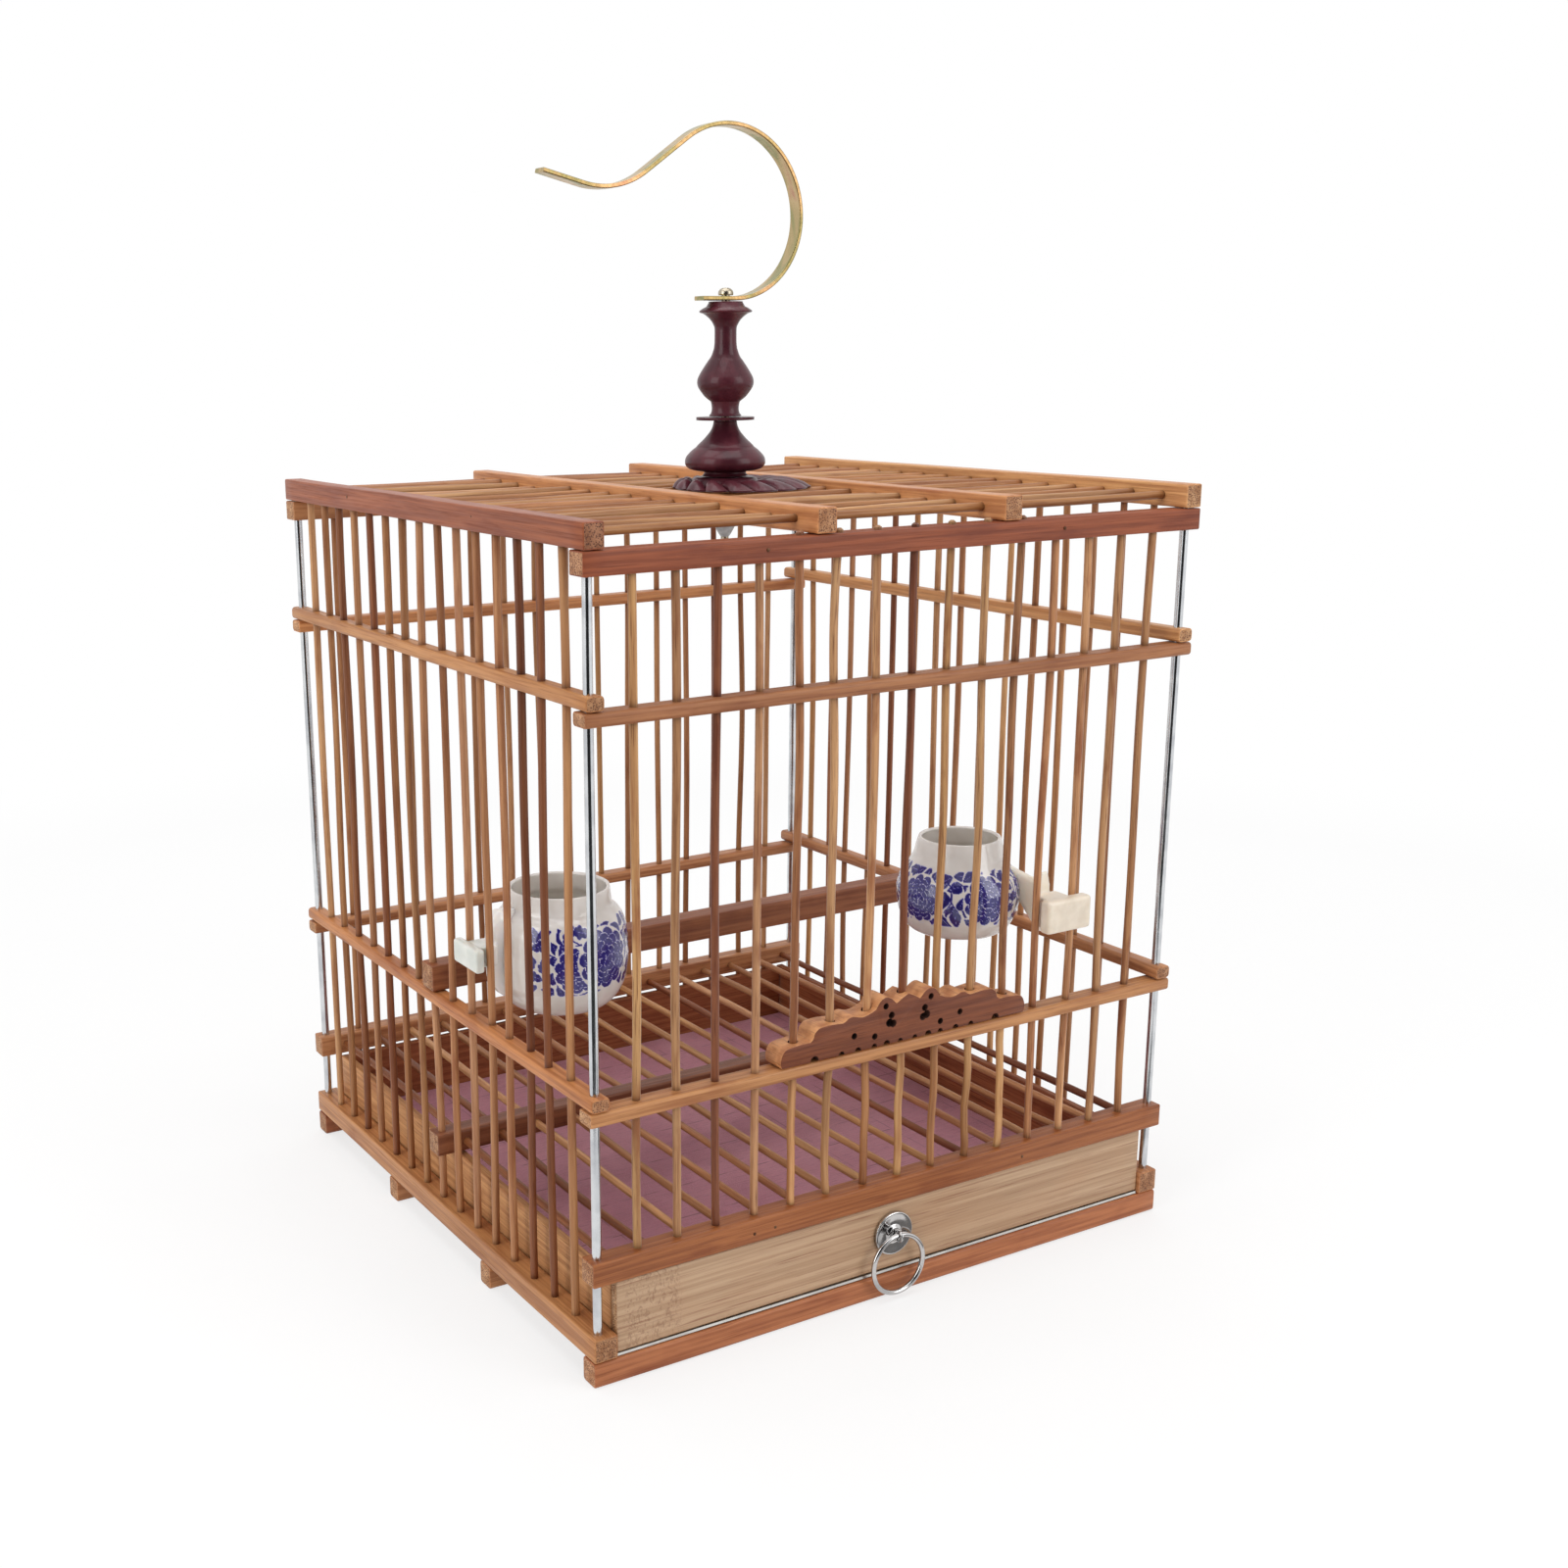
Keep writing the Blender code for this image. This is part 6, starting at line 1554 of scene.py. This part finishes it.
def dark_cards():
    """Dark studio behind the camera, seen only in shiny surfaces: a wall, and cloths on the floor."""
    towards = math.atan2(CAMERA_BACK.y, CAMERA_BACK.x)
    # Name, shade, direction, half spread in degrees, near and far distance, height there
    cards = [("dark_floor_cloth", 0.03, towards, 30, 0.32, 2.4, 0.0006, 0.0006),
             ("dark_back_wall", 0.03, towards, 33, 2.4, 2.4, 0.0006, 2.6),
             ("grey_floor_cloth", 0.22, math.radians(-76), 12, 0.13, 0.27, 0.0004, 0.0004)]
    steps = 12
    for name, shade, middle, spread, near, far, low, high in cards:
        s = Surface(name, Roughness=0.9, Specular_IOR_Level=0.0, Base_Color=(shade, shade, shade, 1.0))
        turns = [middle + math.radians(spread) * (2 * step / steps - 1) for step in range(steps + 1)]
        points = [(near * math.cos(a), near * math.sin(a), low) for a in turns]
        points += [(far * math.cos(a), far * math.sin(a), high) for a in turns]
        faces = [(i, i + 1, i + steps + 2, i + steps + 1) for i in range(steps)]
        mesh = mesh_of(name, points, faces)
        mesh.materials.append(s.material)
        card = placed(name, mesh)
        for kind in ("camera", "diffuse", "shadow", "transmission"):
            setattr(card, "visible_" + kind, False)
        card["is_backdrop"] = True


# The camera, solved from the corners of the cage's body in the photo
CAMERA_RIGHT = Vector((0.867232, -0.497763, -0.011882))
CAMERA_UP = Vector((0.133870, 0.210119, 0.968467))
CAMERA_BACK = Vector((-0.479571, -0.841476, 0.248857))
CAMERA_PLACE = Vector((-0.329627 + MIDDLE_X, -0.505081 + MIDDLE_Y, 0.280015))
IMAGE_SIDE = 1600
FOCAL_PIXELS = 1873.94
CENTRE_PIXEL = (619.29, 843.31)

make_floor()
make_world()
dark_cards()
softbox("left_softbox", (-1.45, -0.25, 0.75), (0.8, 1.3), 9.0)
softbox("right_softbox", (0.75, -1.35, 0.75), (0.8, 1.3), 9.0)
softbox("top_softbox", (0.0, 0.1, 1.7), (1.4, 1.4), 14.0)

lens = bpy.data.cameras.new("camera")
camera = placed("camera", lens)
turn = Matrix((CAMERA_RIGHT, CAMERA_UP, CAMERA_BACK)).transposed()
camera.matrix_world = Matrix.Translation(CAMERA_PLACE) @ turn.to_4x4()
lens.sensor_width = 36.0
lens.lens = FOCAL_PIXELS / IMAGE_SIDE * lens.sensor_width
lens.shift_x = (IMAGE_SIDE / 2 - CENTRE_PIXEL[0]) / IMAGE_SIDE
lens.shift_y = (CENTRE_PIXEL[1] - IMAGE_SIDE / 2) / IMAGE_SIDE
lens.clip_start = 0.01
lens.clip_end = 50.0
bpy.context.scene.camera = camera
bpy.context.scene.view_settings.view_transform = "Standard"

bpy.context.view_layer.update()
low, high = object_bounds()
